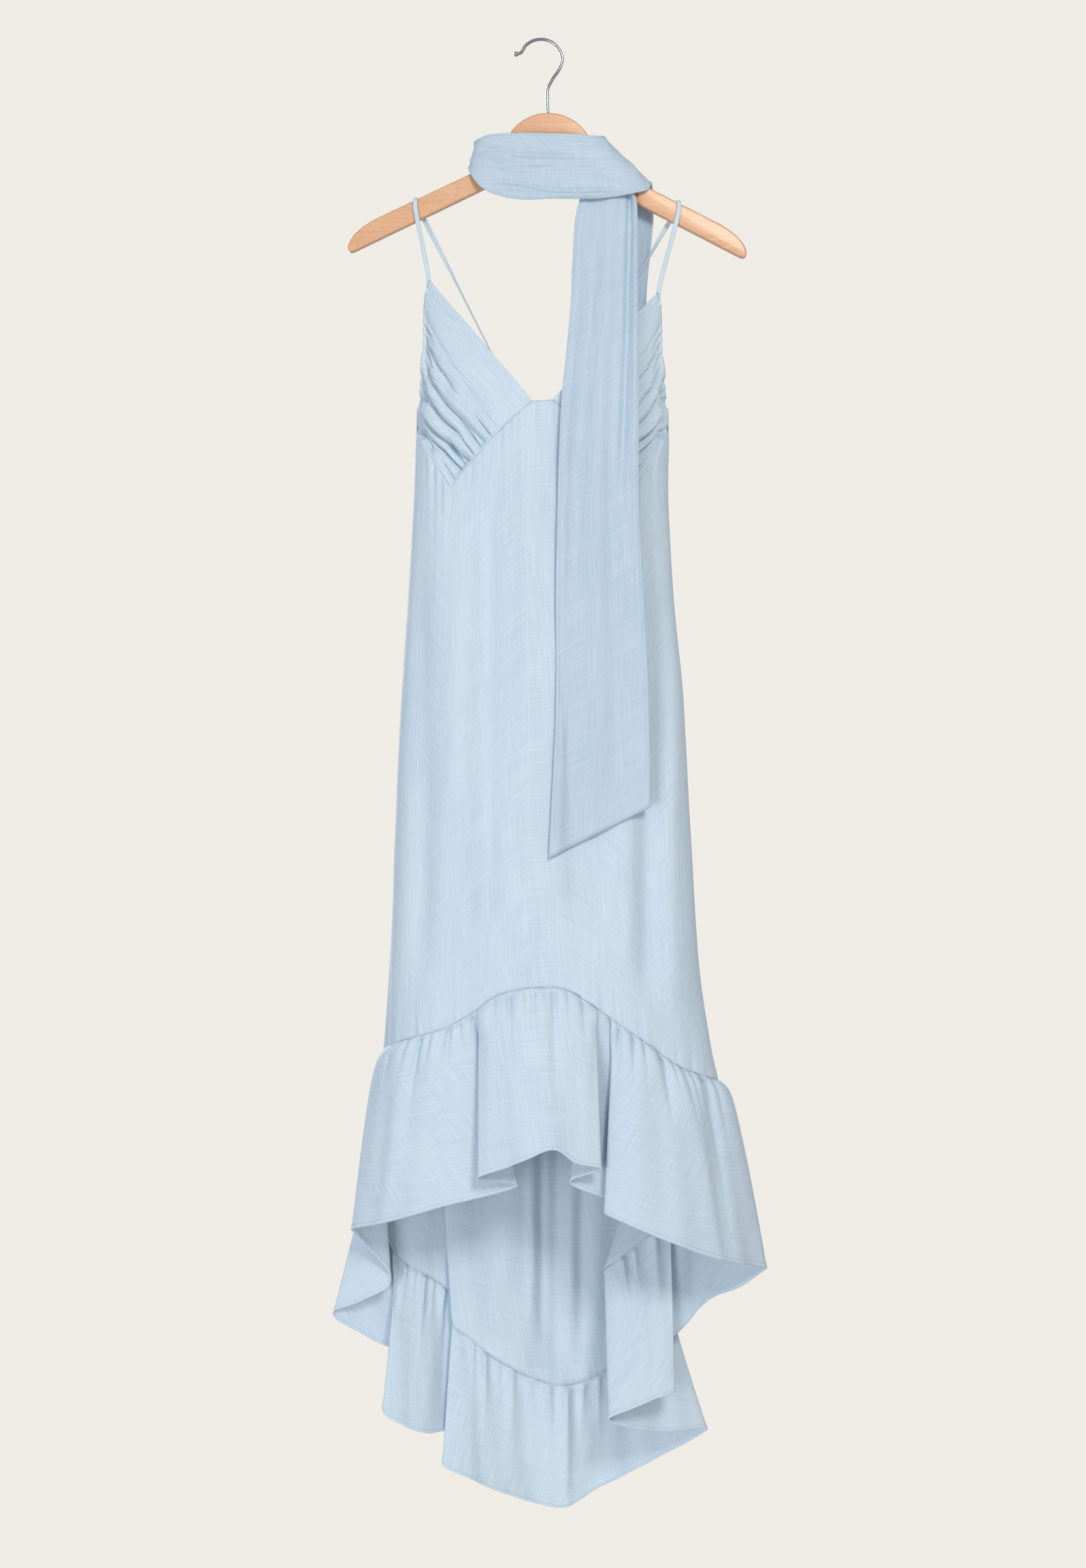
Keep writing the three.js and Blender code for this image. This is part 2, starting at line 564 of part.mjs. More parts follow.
// Back panel: plain above, and running into the deep folds of its seam below
const BACK_FOLDS = { start: 900, power: 1.6 }; // height where they start, and how fast they grow
const BACK_LEVELS = [0, 0.22, 0.42, 0.58, 0.72, 0.83, 0.91, 0.97, 1];
const backPoints = BACK_LEVELS.map((level) =>
  backColumns.map((column) => {
    const seam = column.seam.clone().addScaledVector(column.below, -1.5 * SEAM_GAP);
    if (level === 1) return seam;
    const down = THREE.MathUtils.lerp(readRow(BACK_TOP, "turn", column.turn, "down"), -seam.z, level);
    const fold = column.seam.clone().sub(skin(column.turn, -column.seam.z, "back"));
    const share = (down - BACK_FOLDS.start) / (-seam.z - BACK_FOLDS.start);
    const strength = THREE.MathUtils.clamp(share, 0, 1) ** BACK_FOLDS.power;
    return skin(column.turn, down, "back").addScaledVector(fold.setZ(0), strength);
  }),
);
const backNormals = gridNormals(backPoints, false).map((row, r) =>
  row.map((normal, c) => {
    const last = row.length - 1;
    if (c === 0) return new THREE.Vector3(-1, 0, 0);
    if (c === last) return new THREE.Vector3(1, 0, 0);
    if (r === 0) return outward(backColumns[c].turn, BACK_TOP[0].down, "back");
    return r === BACK_LEVELS.length - 1 ? backColumns[c].out : normal.negate();
  }),
);
for (const row of backPoints) {
  row[0].y += SEAM_GAP / 2;
  row[row.length - 1].y += SEAM_GAP / 2;
}
place("back_panel", wall(backPoints, backNormals, CLOTH), cloth);

// Both ruffles as one ring, parted at the side seams
const gatherWave = [0, 1, 0, -1];
const ruffleRing = RUFFLE_LEVELS.map(({ fall }) =>
  seamRing.map(({ seam, hem, below }) => {
    const top = seam.clone().addScaledVector(below, SEAM_GAP / 2);
    const toBack = smooth(-seam.z, FLARE_POWER.backFrom, FLARE_POWER.backTo);
    const swing = fall ** THREE.MathUtils.lerp(FLARE_POWER.front, FLARE_POWER.back, toBack);
    return new THREE.Vector3(
      THREE.MathUtils.lerp(top.x, hem.x, swing),
      THREE.MathUtils.lerp(top.y, hem.y, swing),
      THREE.MathUtils.lerp(top.z, hem.z, fall),
    );
  }),
);
const ruffleNormals = gridNormals(ruffleRing, true).map((row, r) =>
  row.map((normal, c) => (r === 0 ? seamRing[c].out : normal)),
);
const sideTangents = ruffleRing.map((row, r) =>
  [0, rightSideIndex].map((c) => {
    const before = row[(c + row.length - 1) % row.length];
    const tangent = row[c + 1].clone().sub(before);
    const normal = ruffleNormals[r][c];
    const column = ruffleRing[Math.min(r + 1, ruffleRing.length - 1)][c].clone();
    column.sub(ruffleRing[Math.max(r - 1, 0)][c]).normalize();
    return normal.clone().cross(column).multiplyScalar(Math.sign(normal.clone().cross(column).dot(tangent)));
  }),
);

// 1 where the cloth runs straight on, falling to 0 in the turn of a sharp fold
function openness(row, c) {
  const at = (i) => row[(c + i + row.length) % row.length];
  let length = 0;
  for (let i = -FOLD_REACH; i < FOLD_REACH; i += 1) length += levelStep(at(i), at(i + 1));
  const straight = levelStep(at(-FOLD_REACH), at(FOLD_REACH)) / length;
  return smooth(straight, FOLD_OPEN.none, FOLD_OPEN.full);
}

// Takes one half out of the ring, with its small gathers
function ruffleHalf(first, last) {
  const columns = [];
  for (let c = first; c <= last; c += 1) columns.push(c % seamRing.length);
  const end = columns.length - 1;
  const points = ruffleRing.map((row, r) =>
    columns.map((c, i) => {
      const point = row[c].clone();
      const fromSide = Math.min(i, end - i);
      if (fromSide === 0) {
        const tangent = sideTangents[r][c === 0 ? 0 : 1].clone().normalize();
        return point.addScaledVector(tangent, (i === 0 ? SEAM_GAP : -SEAM_GAP) / 2);
      }
      const spread = levelStep(row[(c + 1) % row.length], row[c - 1]) / 2;
      const height = Math.min(GATHER_HEIGHT, spread / 2) * RUFFLE_LEVELS[r].gather * openness(row, c);
      const wave = gatherWave[i % COLUMNS_PER_GATHER];
      return point.addScaledVector(ruffleNormals[r][c], wave * height);
    }),
  );
  return wall(points, ruffleNormals.map((row) => columns.map((c) => row[c])), CLOTH);
}

place("ruffle_front", ruffleHalf(0, rightSideIndex), cloth);
place("ruffle_back", ruffleHalf(rightSideIndex, seamRing.length), cloth);

// Cups: cloth gathered from the armhole edge and the seam under the bust
function cup({ armhole, side, vee }) {
  const apex = armhole[0];
  const corner = armhole[armhole.length - 1];
  const low = side[side.length - 1];
  const raised = 1.5 * SEAM_GAP;
  const between = (from, to, t) => ({
    turn: THREE.MathUtils.lerp(turnAt(from.x, from.down), turnAt(to.x, to.down), t),
    down: THREE.MathUtils.lerp(from.down, to.down, t),
  });
  const neckline = (s) => {
    const down = THREE.MathUtils.lerp(apex.down, vee.down, s);
    return { turn: turnAt(THREE.MathUtils.lerp(apex.x, vee.x, s), down), down };
  };
  const outer = (t) => {
    const down = THREE.MathUtils.lerp(apex.down, corner.down, t);
    return { turn: turnAt(readRow(armhole, "down", down, "x"), down), down };
  };
  const underBust = (t) => between(vee, low, t);
  const underSide = (s) => {
    const k = Math.min(SIDE_KNOTS.findLastIndex((knot) => s >= knot), side.length - 2);
    return between(side[k], side[k + 1], (s - SIDE_KNOTS[k]) / (SIDE_KNOTS[k + 1] - SIDE_KNOTS[k]));
  };
  const coons = (name, s, t) =>
    (1 - t) * neckline(s)[name] +
    t * underSide(s)[name] +
    (1 - s) * outer(t)[name] +
    s * underBust(t)[name] -
    (1 - s) * (1 - t) * outer(0)[name] -
    s * (1 - t) * underBust(0)[name] -
    (1 - s) * t * outer(1)[name] -
    s * t * underBust(1)[name];
  const grid = CUP_LEVELS.map((s) =>
    Array.from({ length: CUP_COLUMNS + 1 }, (empty, c) => {
      const t = c / CUP_COLUMNS;
      const turn = THREE.MathUtils.clamp(coons("turn", s, t), 0, 1);
      const nearSeam = Math.max(smooth(s, CUP_HEM.bust, 1), smooth(t, CUP_HEM.bust, 1));
      const down = coons("down", s, t) - raised * nearSeam;
      const out = outward(turn, down, "front");
      const hem = (1 - smooth(s, CUP_HEM.bust, 1)) * (1 - smooth(t, CUP_HEM.side, 1));
      let height = CUP_FULLNESS * Math.sin(Math.PI * s) * Math.sin(Math.PI * t);
      for (const fold of CUP_FOLDS) {
        const start = smooth(s, fold.from - CUP_FOLD_ENDS, fold.from + CUP_FOLD_ENDS / 2);
        const end = smooth(s, fold.to - CUP_FOLD_ENDS, fold.to + CUP_FOLD_ENDS);
        height += fold.height * start * (1 - end) * bump(t - fold.at, CUP_FOLD_WIDTH);
      }
      const point = skin(turn, down, "front").addScaledVector(out, height * hem);
      point.y = Math.min(point.y, -SEAM_GAP / 2);
      return { point, out };
    }),
  );
  return wall(pointsOf(grid), normalsOf(grid), CLOTH);
}

place("cup_left", cup(CUP_LEFT), cloth);
place("cup_right", cup(CUP_RIGHT), cloth);

// Wooden hanger: a round head, two sloping arms and an arched underside, with rounded edges
const ARM = { shoulder: 60, slope: 0.491, top: 149.7, topAt: 87.5, height: 25, tip: 30, heel: 9 };
const HEAD = { radius: 51, down: 131.25, angle: 0.14 };
const HANGER_EDGE = 2.5;

function armTop(x) {
  const reach = x - HANGER_CENTRE;
  return ARM.top + (Math.abs(reach) - ARM.topAt) * ARM.slope + reach * HANGER_LEAN;
}

function hangerOutline() {
  const half = HANGER_LENGTH / 2;
  const top = (reach) => -(ARM.top + (reach - ARM.topAt) * ARM.slope);
  const bottom = (reach) => top(reach) - ARM.height;
  const headX = HEAD.radius * Math.cos(HEAD.angle);
  const headZ = HEAD.radius * Math.sin(HEAD.angle) - HEAD.down;
  const shape = new THREE.Shape();
  shape.moveTo(-ARM.shoulder, bottom(ARM.shoulder));
  shape.lineTo(ARM.heel - half, bottom(half - ARM.heel));
  shape.quadraticCurveTo(1 - half, bottom(half - 1), -half, bottom(half) + ARM.heel);
  shape.quadraticCurveTo(2 - half, top(half) - 1, ARM.tip - half, top(half - ARM.tip));
  shape.lineTo(-ARM.shoulder - 4, top(ARM.shoulder + 4));
  shape.quadraticCurveTo(-headX - 1.5, top(headX), -headX, headZ);
  shape.absarc(0, -HEAD.down, HEAD.radius, Math.PI - HEAD.angle, HEAD.angle, true);
  shape.quadraticCurveTo(headX + 1.5, top(headX), ARM.shoulder + 4, top(ARM.shoulder + 4));
  shape.lineTo(half - ARM.tip, top(half - ARM.tip));
  shape.quadraticCurveTo(half - 2, top(half) - 1, half, bottom(half) + ARM.heel);
  shape.quadraticCurveTo(half - 1, bottom(half - 1), half - ARM.heel, bottom(half - ARM.heel));
  shape.lineTo(ARM.shoulder, bottom(ARM.shoulder));
  const shoulderBottom = bottom(ARM.shoulder);
  shape.quadraticCurveTo(0, shoulderBottom + ARM.shoulder * ARM.slope, -ARM.shoulder, shoulderBottom);
  return shape;
}

const hangerSolid = new THREE.ExtrudeGeometry(hangerOutline(), {
  depth: HANGER_THICK - 2 * HANGER_EDGE,
  bevelThickness: HANGER_EDGE,
  bevelSize: HANGER_EDGE,
  bevelOffset: -HANGER_EDGE,
  bevelSegments: 2,
  curveSegments: 10,
});
hangerSolid.translate(0, 0, HANGER_EDGE - HANGER_THICK / 2);
hangerSolid.rotateX(Math.PI / 2);
hangerSolid.translate(0, 0, HEAD.down);
hangerSolid.rotateY(HANGER_LEAN);
hangerSolid.translate(HANGER_CENTRE, 0, -HEAD.down);
place("hanger_body", hangerSolid, wood);

// Hook: one bent wire, from a small ball at its tip round the bend and down into the head
const HOOK_STEPS = 40;
const HOOK_SIDES = 8;
const HOOK_BALL = 2.8;
const HOOK_BEND = { from: 2.75, to: 0.12, steps: 7 };
const HOOK_TIP = [
  { x: -30, down: 15.4 },
  { x: -26.5, down: 14.4 },
];
const HOOK_STEM = [
  { x: 20.4, down: 31 },
  { x: 13, down: 42 },
  { x: 7.4, down: 54 },
  { x: 7.3, down: 66 },
];

function hookPath() {
  const at = ({ x, down }) => new THREE.Vector3(x, 0, -down);
  const bendDown = HOOK_RADIUS - WIRE / 2;
  const points = HOOK_TIP.map(at);
  for (let i = 0; i <= HOOK_BEND.steps; i += 1) {
    const angle = THREE.MathUtils.lerp(HOOK_BEND.from, HOOK_BEND.to, i / HOOK_BEND.steps);
    const x = HOOK_RADIUS * Math.cos(angle);
    points.push(at({ x, down: bendDown - HOOK_RADIUS * Math.sin(angle) }));
  }
  const foot = { x: HANGER_CENTRE - 0.4, down: HEAD.down - HEAD.radius - 0.4 };
  return new THREE.CatmullRomCurve3([...points, ...HOOK_STEM.map(at), at(foot)], false, "centripetal");
}

function wire(path, steps, sides, radiusAt) {
  const length = path.getLength();
  const positions = [];
  const faces = [];
  const level = new THREE.Vector3(0, 1, 0);
  for (let i = 0; i <= steps; i += 1) {
    const along = i / steps;
    const across = path.getTangentAt(along).cross(level).normalize();
    const centre = path.getPointAt(along);
    const radius = radiusAt(along * length);
    for (let k = 0; k < sides; k += 1) {
      const angle = (2 * Math.PI * k) / sides;
      const point = centre.clone().addScaledVector(across, radius * Math.cos(angle));
      positions.push(...point.addScaledVector(level, radius * Math.sin(angle)).toArray());
    }
  }
  for (let i = 0; i < steps; i += 1) {
    for (let k = 0; k < sides; k += 1) {
      const a = i * sides + k;
      const b = i * sides + ((k + 1) % sides);
      faces.push(a, b, b + sides, a, b + sides, a + sides);
    }
  }
  for (const [ring, flip] of [[0, true], [steps, false]]) {
    for (let k = 1; k < sides - 1; k += 1) {
      const cap = [ring * sides, ring * sides + k, ring * sides + k + 1];
      faces.push(...(flip ? cap.reverse() : cap));
    }
  }
  const geometry = new THREE.BufferGeometry();
  geometry.setAttribute("position", new THREE.Float32BufferAttribute(positions, 3));
  geometry.setIndex(signedVolume(positions, faces) < 0 ? faces.reverse() : faces);
  return geometry;
}

const ballRadius = (distance) => Math.sqrt(Math.max(HOOK_BALL ** 2 - (distance - HOOK_BALL * 0.9) ** 2, 0));
const hookWire = wire(hookPath(), HOOK_STEPS, HOOK_SIDES, (distance) =>
  distance < 2 * HOOK_BALL ? Math.max(ballRadius(distance), distance < HOOK_BALL ? 0.6 : WIRE / 2) : WIRE / 2,
);
place("hanger_hook", hookWire, steel);

// A flat ribbon between two edges
function ribbon(edgeA, edgeB, steps, thick) {
  const curveA = curveThrough(edgeA);
  const curveB = curveThrough(edgeB);
  const grid = Array.from({ length: steps + 1 }, (blank, i) =>
    [curveA, curveB].map((curve) => curve.getPoint(i / steps)),
  );
  return wall(grid, gridNormals(grid, false), thick);
}

// Shoulder straps: from the point of a cup over the hanger's arm, crossing at the back
const STRAPS = [
  { name: "strap_left", apex: CUP_LEFT.armhole[0], over: -138.3, backX: 36, bow: -2.4 },
  { name: "strap_right", apex: CUP_RIGHT.armhole[0], over: 151.8, backX: -42, bow: 2.4 },
];
const STRAP_RISE = [20, 45, 70, 90, 110, 135, 160]; // degrees round the top of the arm
const STRAP_ROUND = { reach: 8.4, drop: 8, foot: 3.2, rise: 5.6, power: 0.7 }; // its loop there
const STRAP_BACK = [0.12, 0.4, 0.7, 0.9, 1]; // shares of the way down the back
const STRAP_STEPS = 30;

for (const strap of STRAPS) {
  const { apex, over } = strap;
  const slope = Math.sign(over - HANGER_CENTRE) * ARM.slope + HANGER_LEAN;
  const along = new THREE.Vector3(1, 0, -slope).normalize().multiplyScalar(STRAP_WIDTH / 2);
  const level = new THREE.Vector3(STRAP_WIDTH / 2, 0, 0);
  const centres = [];
  const widths = [];
  const push = (x, y, down, width) => {
    centres.push(new THREE.Vector3(x, y, -down));
    widths.push(width);
  };
  push(apex.x, frontDepth(apex.x, apex.down), apex.down - SEAM_GAP, level);
  push(over, -STRAP_ROUND.reach, armTop(over) + STRAP_ROUND.drop, level);
  for (const degrees of STRAP_RISE) {
    const angle = THREE.MathUtils.degToRad(degrees);
    const { reach, foot, rise, power } = STRAP_ROUND;
    const lift = foot - rise * Math.sin(angle) ** power;
    push(over, -reach * signedPower(Math.cos(angle), power), armTop(over) + lift, along);
  }
  const endTurn = turnAt(strap.backX, BACK_TOP[3].down);
  const endDown = readRow(BACK_TOP, "turn", endTurn, "down") - 3 * SEAM_GAP;
  const end = skin(endTurn, endDown, "back");
  const start = centres[centres.length - 1];
  for (const share of STRAP_BACK) {
    const point = start.clone().lerp(end, share);
    push(point.x, point.y + strap.bow * Math.sin(Math.PI * share), -point.z, level);
  }
  const edge = (sign) => centres.map((centre, i) => centre.clone().addScaledVector(widths[i], sign));
  place(strap.name, ribbon(edge(-1), edge(1), STRAP_STEPS, STRAP_THICK), cloth);
}

// Scarf
function tailPoint(row, ends, side, share) {
  const top = row[0].down;
  const down = THREE.MathUtils.lerp(top, ends[side], share);
  return new THREE.Vector3(readRow(row, "down", down, side), readRow(row, "down", down, "y"), -down);
}

function lieOnFront(point) {
  const down = -point.z;
  const { cups, panel, from, to, deepestFold } = TAIL_CLEARANCE;
  const clearance = THREE.MathUtils.lerp(cups, panel, smooth(down, from, to));
  const surface = frontDepth(point.x, down) - Math.max(panelFold(point.x, down), deepestFold) - clearance;
  if (down > FRONT_TAIL[1].down) point.y = Math.min(point.y, surface);
  return point;
}

function lieOnBack(point) {
  const down = -point.z;
  const surface = backDepth(point.x, down) + TAIL_CLEARANCE.panel;
  if (down > BACK_TAIL[1].down) point.y = Math.max(point.y, surface);
  return point;
}

function tailGrid(rows, ends, lie, sign) {
  return Array.from({ length: TAIL_STEPS + 1 }, (blank, i) => {
    const share = i / TAIL_STEPS;
    const left = tailPoint(rows, ends, "left", share);
    const right = tailPoint(rows, ends, "right", share);
    return Array.from({ length: SCARF_COLUMNS + 1 }, (empty, c) => {
      const across = c / SCARF_COLUMNS;
      const point = lie(left.clone().lerp(right, across));
      for (const fold of TAIL_FOLDS) point.y += sign * fold.height * bump(across - fold.at, TAIL_FOLD_WIDTH);
      return point;
    });
  });
}

function woundGrid(rows) {
  const curveA = curveThrough(rows.map(({ ax, ay, adown }) => new THREE.Vector3(ax, ay, -adown)));
  const curveB = curveThrough(rows.map(({ bx, by, bdown }) => new THREE.Vector3(bx, by, -bdown)));
  return stationsOf(rows).map((station) => {
    const a = alongCurve(curveA, rows, station);
    const b = alongCurve(curveB, rows, station);
    return Array.from({ length: SCARF_COLUMNS + 1 }, (empty, c) => a.clone().lerp(b, c / SCARF_COLUMNS));
  });
}

function scarfPiece(name, grid) {
  place(name, wall(grid, gridNormals(grid, false), CLOTH), cloth);
}

const frontTail = tailGrid(FRONT_TAIL, FRONT_TAIL_ENDS, lieOnFront, -1).reverse();
scarfPiece("scarf_front_tail", [...frontTail, ...woundGrid(SCARF_UP)]);
scarfPiece("scarf_behind_neck", woundGrid(SCARF_BEHIND));
scarfPiece("scarf_neck_wrap", woundGrid(SCARF_ACROSS));
const backTail = tailGrid(BACK_TAIL, BACK_TAIL_ENDS, lieOnBack, 1);
scarfPiece("scarf_back_tail", [...woundGrid(SCARF_DOWN).slice(0, -1), ...backTail]);

export default part;
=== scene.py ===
# High-low slip dress with its matching scarf, hung on a wooden hanger. The script follows the
# dress as it is put together: hanger, hook, body, ruffle, cups, straps, scarf, sewing, and last
# the floor, lights and camera. Shapes are worked out in millimetres and placed in metres.

import math

import bpy
import numpy as np
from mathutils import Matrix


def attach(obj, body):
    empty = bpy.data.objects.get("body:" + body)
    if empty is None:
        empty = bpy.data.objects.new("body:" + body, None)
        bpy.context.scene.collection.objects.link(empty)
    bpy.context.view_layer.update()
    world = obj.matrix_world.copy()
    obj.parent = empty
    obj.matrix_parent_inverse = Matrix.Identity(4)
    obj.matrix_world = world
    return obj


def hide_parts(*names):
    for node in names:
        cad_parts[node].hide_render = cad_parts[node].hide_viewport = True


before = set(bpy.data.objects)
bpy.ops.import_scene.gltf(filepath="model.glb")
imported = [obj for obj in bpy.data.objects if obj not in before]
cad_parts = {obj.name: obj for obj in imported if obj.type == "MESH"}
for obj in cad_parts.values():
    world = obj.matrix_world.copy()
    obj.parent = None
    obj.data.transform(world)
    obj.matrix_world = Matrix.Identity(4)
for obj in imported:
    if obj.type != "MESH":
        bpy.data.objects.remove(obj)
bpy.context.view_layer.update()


# Hanger: beech, shaped with a round head and two sloping arms, its edges rounded over with a
# router, then sanded and given a clear satin lacquer. The head is bare.

HANGER_LENGTH = 440
HANGER_THICK = 13
HANGER_EDGE = 2.5  # radius of its rounded edges
EDGE_STEPS = 5
HANGER_CENTRE = 8  # its middle, to the right of the hook's bend
HANGER_LEAN = 0.014  # radians, with the right arm lower
ARM_SHOULDER = 60
ARM_SLOPE = 0.491  # fall for each millimetre outwards
ARM_TOP = 149.7  # depth of the arm's upper edge, at ARM_TOP_AT from the middle
ARM_TOP_AT = 87.5
ARM_HEIGHT = 25
ARCH_RISE = 15  # of the underside, in the middle
TIP_UNDER, TIP_END, TIP_OVER = 9, 8, 30  # of each tip: round below, blunt end and round above
HEAD_RADIUS = 51
HEAD_DOWN = 131.25
HEAD_FOOT = 64  # where the upper edge starts to rise into the head
HEAD_ANGLE = 0.14  # radians above level, where the head's round starts


def linear_colour(hex_colour):
    """A colour written as on a screen, as the four linear numbers that a shader takes."""
    channels = [int(hex_colour[i : i + 2], 16) / 255 for i in (1, 3, 5)]
    return [c / 12.92 if c <= 0.04045 else ((c + 0.055) / 1.055) ** 2.4 for c in channels] + [1.0]


def unit(vectors):
    return vectors / np.linalg.norm(vectors, axis=-1)[..., None]


def add_node(tree, kind, inputs=None, stops=(), **settings):
    """Adds a node, sets it up, and links or fills its inputs; stops are the colours of a ramp."""
    node = tree.nodes.new(kind)
    for name, value in settings.items():
        setattr(node, name, value)
    for name, value in (inputs or {}).items():
        if isinstance(value, bpy.types.NodeSocket):
            tree.links.new(value, node.inputs[name])
        else:
            node.inputs[name].default_value = value
    for i, (position, colour) in enumerate(stops):
        elements = node.color_ramp.elements
        element = elements[i] if i < len(elements) else elements.new(position)
        element.position = position
        element.color = linear_colour(colour)
    return node


def new_material(name):
    material = bpy.data.materials.new(name)
    material.use_nodes = True
    material.node_tree.nodes.clear()
    return material, material.node_tree


def finish_material(tree, settings):
    shader = add_node(tree, "ShaderNodeBsdfPrincipled", settings)
    add_node(tree, "ShaderNodeOutputMaterial", {"Surface": shader.outputs["BSDF"]})


def uneven(tree, place, per_metre, detail, roughness=0.55, offset=(0, 0, 0)):
    """Noise with so many spots in a metre each way; unlike numbers draw it out into streaks."""
    spot = add_node(
        tree, "ShaderNodeMapping", {"Vector": place, "Scale": per_metre, "Location": offset}
    )
    noise = add_node(
        tree,
        "ShaderNodeTexNoise",
        {"Vector": spot.outputs["Vector"], "Scale": 1.0, "Detail": detail, "Roughness": roughness},
    )
    return noise.outputs["Fac"]


# Lacquered beech: pale pinkish brown, with short dark ray flecks along the grain under a clear
# satin coat that gives soft highlights on the rounded edges
beech, tree = new_material("lacquered_beech")
place = add_node(tree, "ShaderNodeTexCoord").outputs["Object"]
GRAIN = (12.25, 315, 315)  # bands 3 mm wide and 80 mm long, with finer ones in them
FLECKS = (220, 1500, 1500)  # 0.7 mm wide and 4.5 mm long
grain = uneven(tree, place, GRAIN, 4.0, 0.6)
flecks = uneven(tree, place, FLECKS, 1.0, 0.4)
GRAIN_TONES = [(0.25, "#D09D75"), (0.5, "#DAA982"), (0.8, "#E3B793")]
FLECK_SHADES = [(0.62, "#FFFFFF"), (0.72, "#D2AB8A")]
grain_colour = add_node(tree, "ShaderNodeValToRGB", {"Fac": grain}, GRAIN_TONES)
fleck_shade = add_node(tree, "ShaderNodeValToRGB", {"Fac": flecks}, FLECK_SHADES)
wood_colour = add_node(
    tree,
    "ShaderNodeMix",
    {0: 0.5, 6: grain_colour.outputs["Color"], 7: fleck_shade.outputs["Color"]},
    data_type="RGBA",
    blend_type="MULTIPLY",
)
wood_bump = add_node(
    tree, "ShaderNodeBump", {"Height": grain, "Strength": 0.12, "Distance": 0.0003}
)
finish_material(
    tree,
    {
        "Base Color": wood_colour.outputs[2],
        "Roughness": 0.42,
        "IOR": 1.5,
        "Coat Weight": 0.35,
        "Coat Roughness": 0.22,
        "Normal": wood_bump.outputs["Normal"],
    },
)


def link_object(name, data):
    thing = bpy.data.objects.new(name, data)
    bpy.context.scene.collection.objects.link(thing)
    return thing


def new_piece(name, vertices, faces, material, cloth_place=None):
    """A mesh object from points in millimetres, smooth, with the cloth's own flat place as UV."""
    mesh = bpy.data.meshes.new(name)
    mesh.from_pydata((np.asarray(vertices) * 0.001).tolist(), [], faces)
    mesh.validate()
    mesh.polygons.foreach_set("use_smooth", [True] * len(mesh.polygons))
    if cloth_place is not None:
        corners = np.empty(len(mesh.loops), dtype=np.int64)
        mesh.loops.foreach_get("vertex_index", corners)
        layer = mesh.uv_layers.new(name="cloth")
        layer.data.foreach_set("uv", (np.asarray(cloth_place)[corners] * 0.001).ravel())
    mesh.materials.append(material)
    return link_object(name, mesh)


def fit_piece(piece, slot, *nodes):
    """Ties a piece to the one body, in place of the plain solids that it stands for."""
    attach(piece, "root")
    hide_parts(*nodes)


def bezier(start, bend, end, count):
    t = np.linspace(0, 1, count)[:, None]
    start, bend, end = (np.array(p, dtype=float) for p in (start, bend, end))
    return (1 - t) ** 2 * start + 2 * t * (1 - t) * bend + t**2 * end


def hanger_outline():
    """Corners of the outline, from under the middle round the right arm to the top of the head,
    then the same mirrored on the left."""
    half = HANGER_LENGTH / 2

    def top(reach):
        return -(ARM_TOP + (reach - ARM_TOP_AT) * ARM_SLOPE)

    def bottom(reach):
        return top(reach) - ARM_HEIGHT

    arc = np.linspace(HEAD_ANGLE, math.pi / 2, 40)
    head = np.stack([HEAD_RADIUS * np.cos(arc), HEAD_RADIUS * np.sin(arc) - HEAD_DOWN], axis=1)
    arch_top = (0, bottom(0) + ARCH_RISE)
    arch_bend = (ARM_SHOULDER / 2, bottom(ARM_SHOULDER / 4))
    shoulder = (ARM_SHOULDER, bottom(ARM_SHOULDER))
    tip_start = (half - TIP_UNDER, bottom(half - TIP_UNDER))
    tip = (half, bottom(half) + TIP_END)
    tip_back = (half - TIP_OVER, top(half - TIP_OVER))
    foot = (HEAD_FOOT, top(HEAD_FOOT))
    foot_bend = (head[0, 0] + 1.5, top(head[0, 0]))
    right = np.concatenate(
        [
            bezier(arch_top, arch_bend, shoulder, 12)[:-1],
            bezier(tip_start, (half - 1, bottom(half - 1)), tip, 12)[:-1],
            bezier(tip, (half - 2, top(half) - 1), tip_back, 16),
            bezier(foot, foot_bend, head[0], 12)[:-1],
            head,
        ]
    )
    left = right[::-1][1:-1] * (-1, 1)
    return np.concatenate([right, left])


def closed_rings(rings):
    """Points and faces of a solid drawn through rings, with a flat cap at each end. Its faces
    point outwards where the rings run anticlockwise, seen from the last one."""
    count = rings.shape[1]
    last = (len(rings) - 1) * count
    faces = []
    for a in range(0, last, count):
        for i in range(count):
            j = (i + 1) % count
            faces.append((a + i, a + j, a + count + j, a + count + i))
    faces += [tuple(range(count - 1, -1, -1)), tuple(range(last, last + count))]
    return rings.reshape(-1, 3), faces


def rounded_plate(outline, thick, edge, rounds):
    """A flat plate of that outline, with a quarter round on both of its edges."""
    after = np.roll(outline, -1, axis=0) - outline
    before = outline - np.roll(outline, 1, axis=0)
    tangent = unit(unit(after) + unit(before))
    inward = np.stack([-tangent[:, 1], tangent[:, 0]], axis=1)
    rings = []
    for side in (1, -1):
        angles = np.linspace(0, math.pi / 2, rounds + 1)
        for angle in angles if side == -1 else angles[::-1]:
            flat = outline + inward * edge * (1 - math.cos(angle))
            depth = side * (thick / 2 - edge * (1 - math.sin(angle)))
            rings.append(np.stack([flat[:, 0], np.full(len(flat), depth), flat[:, 1]], axis=1))
    return closed_rings(np.array(rings))


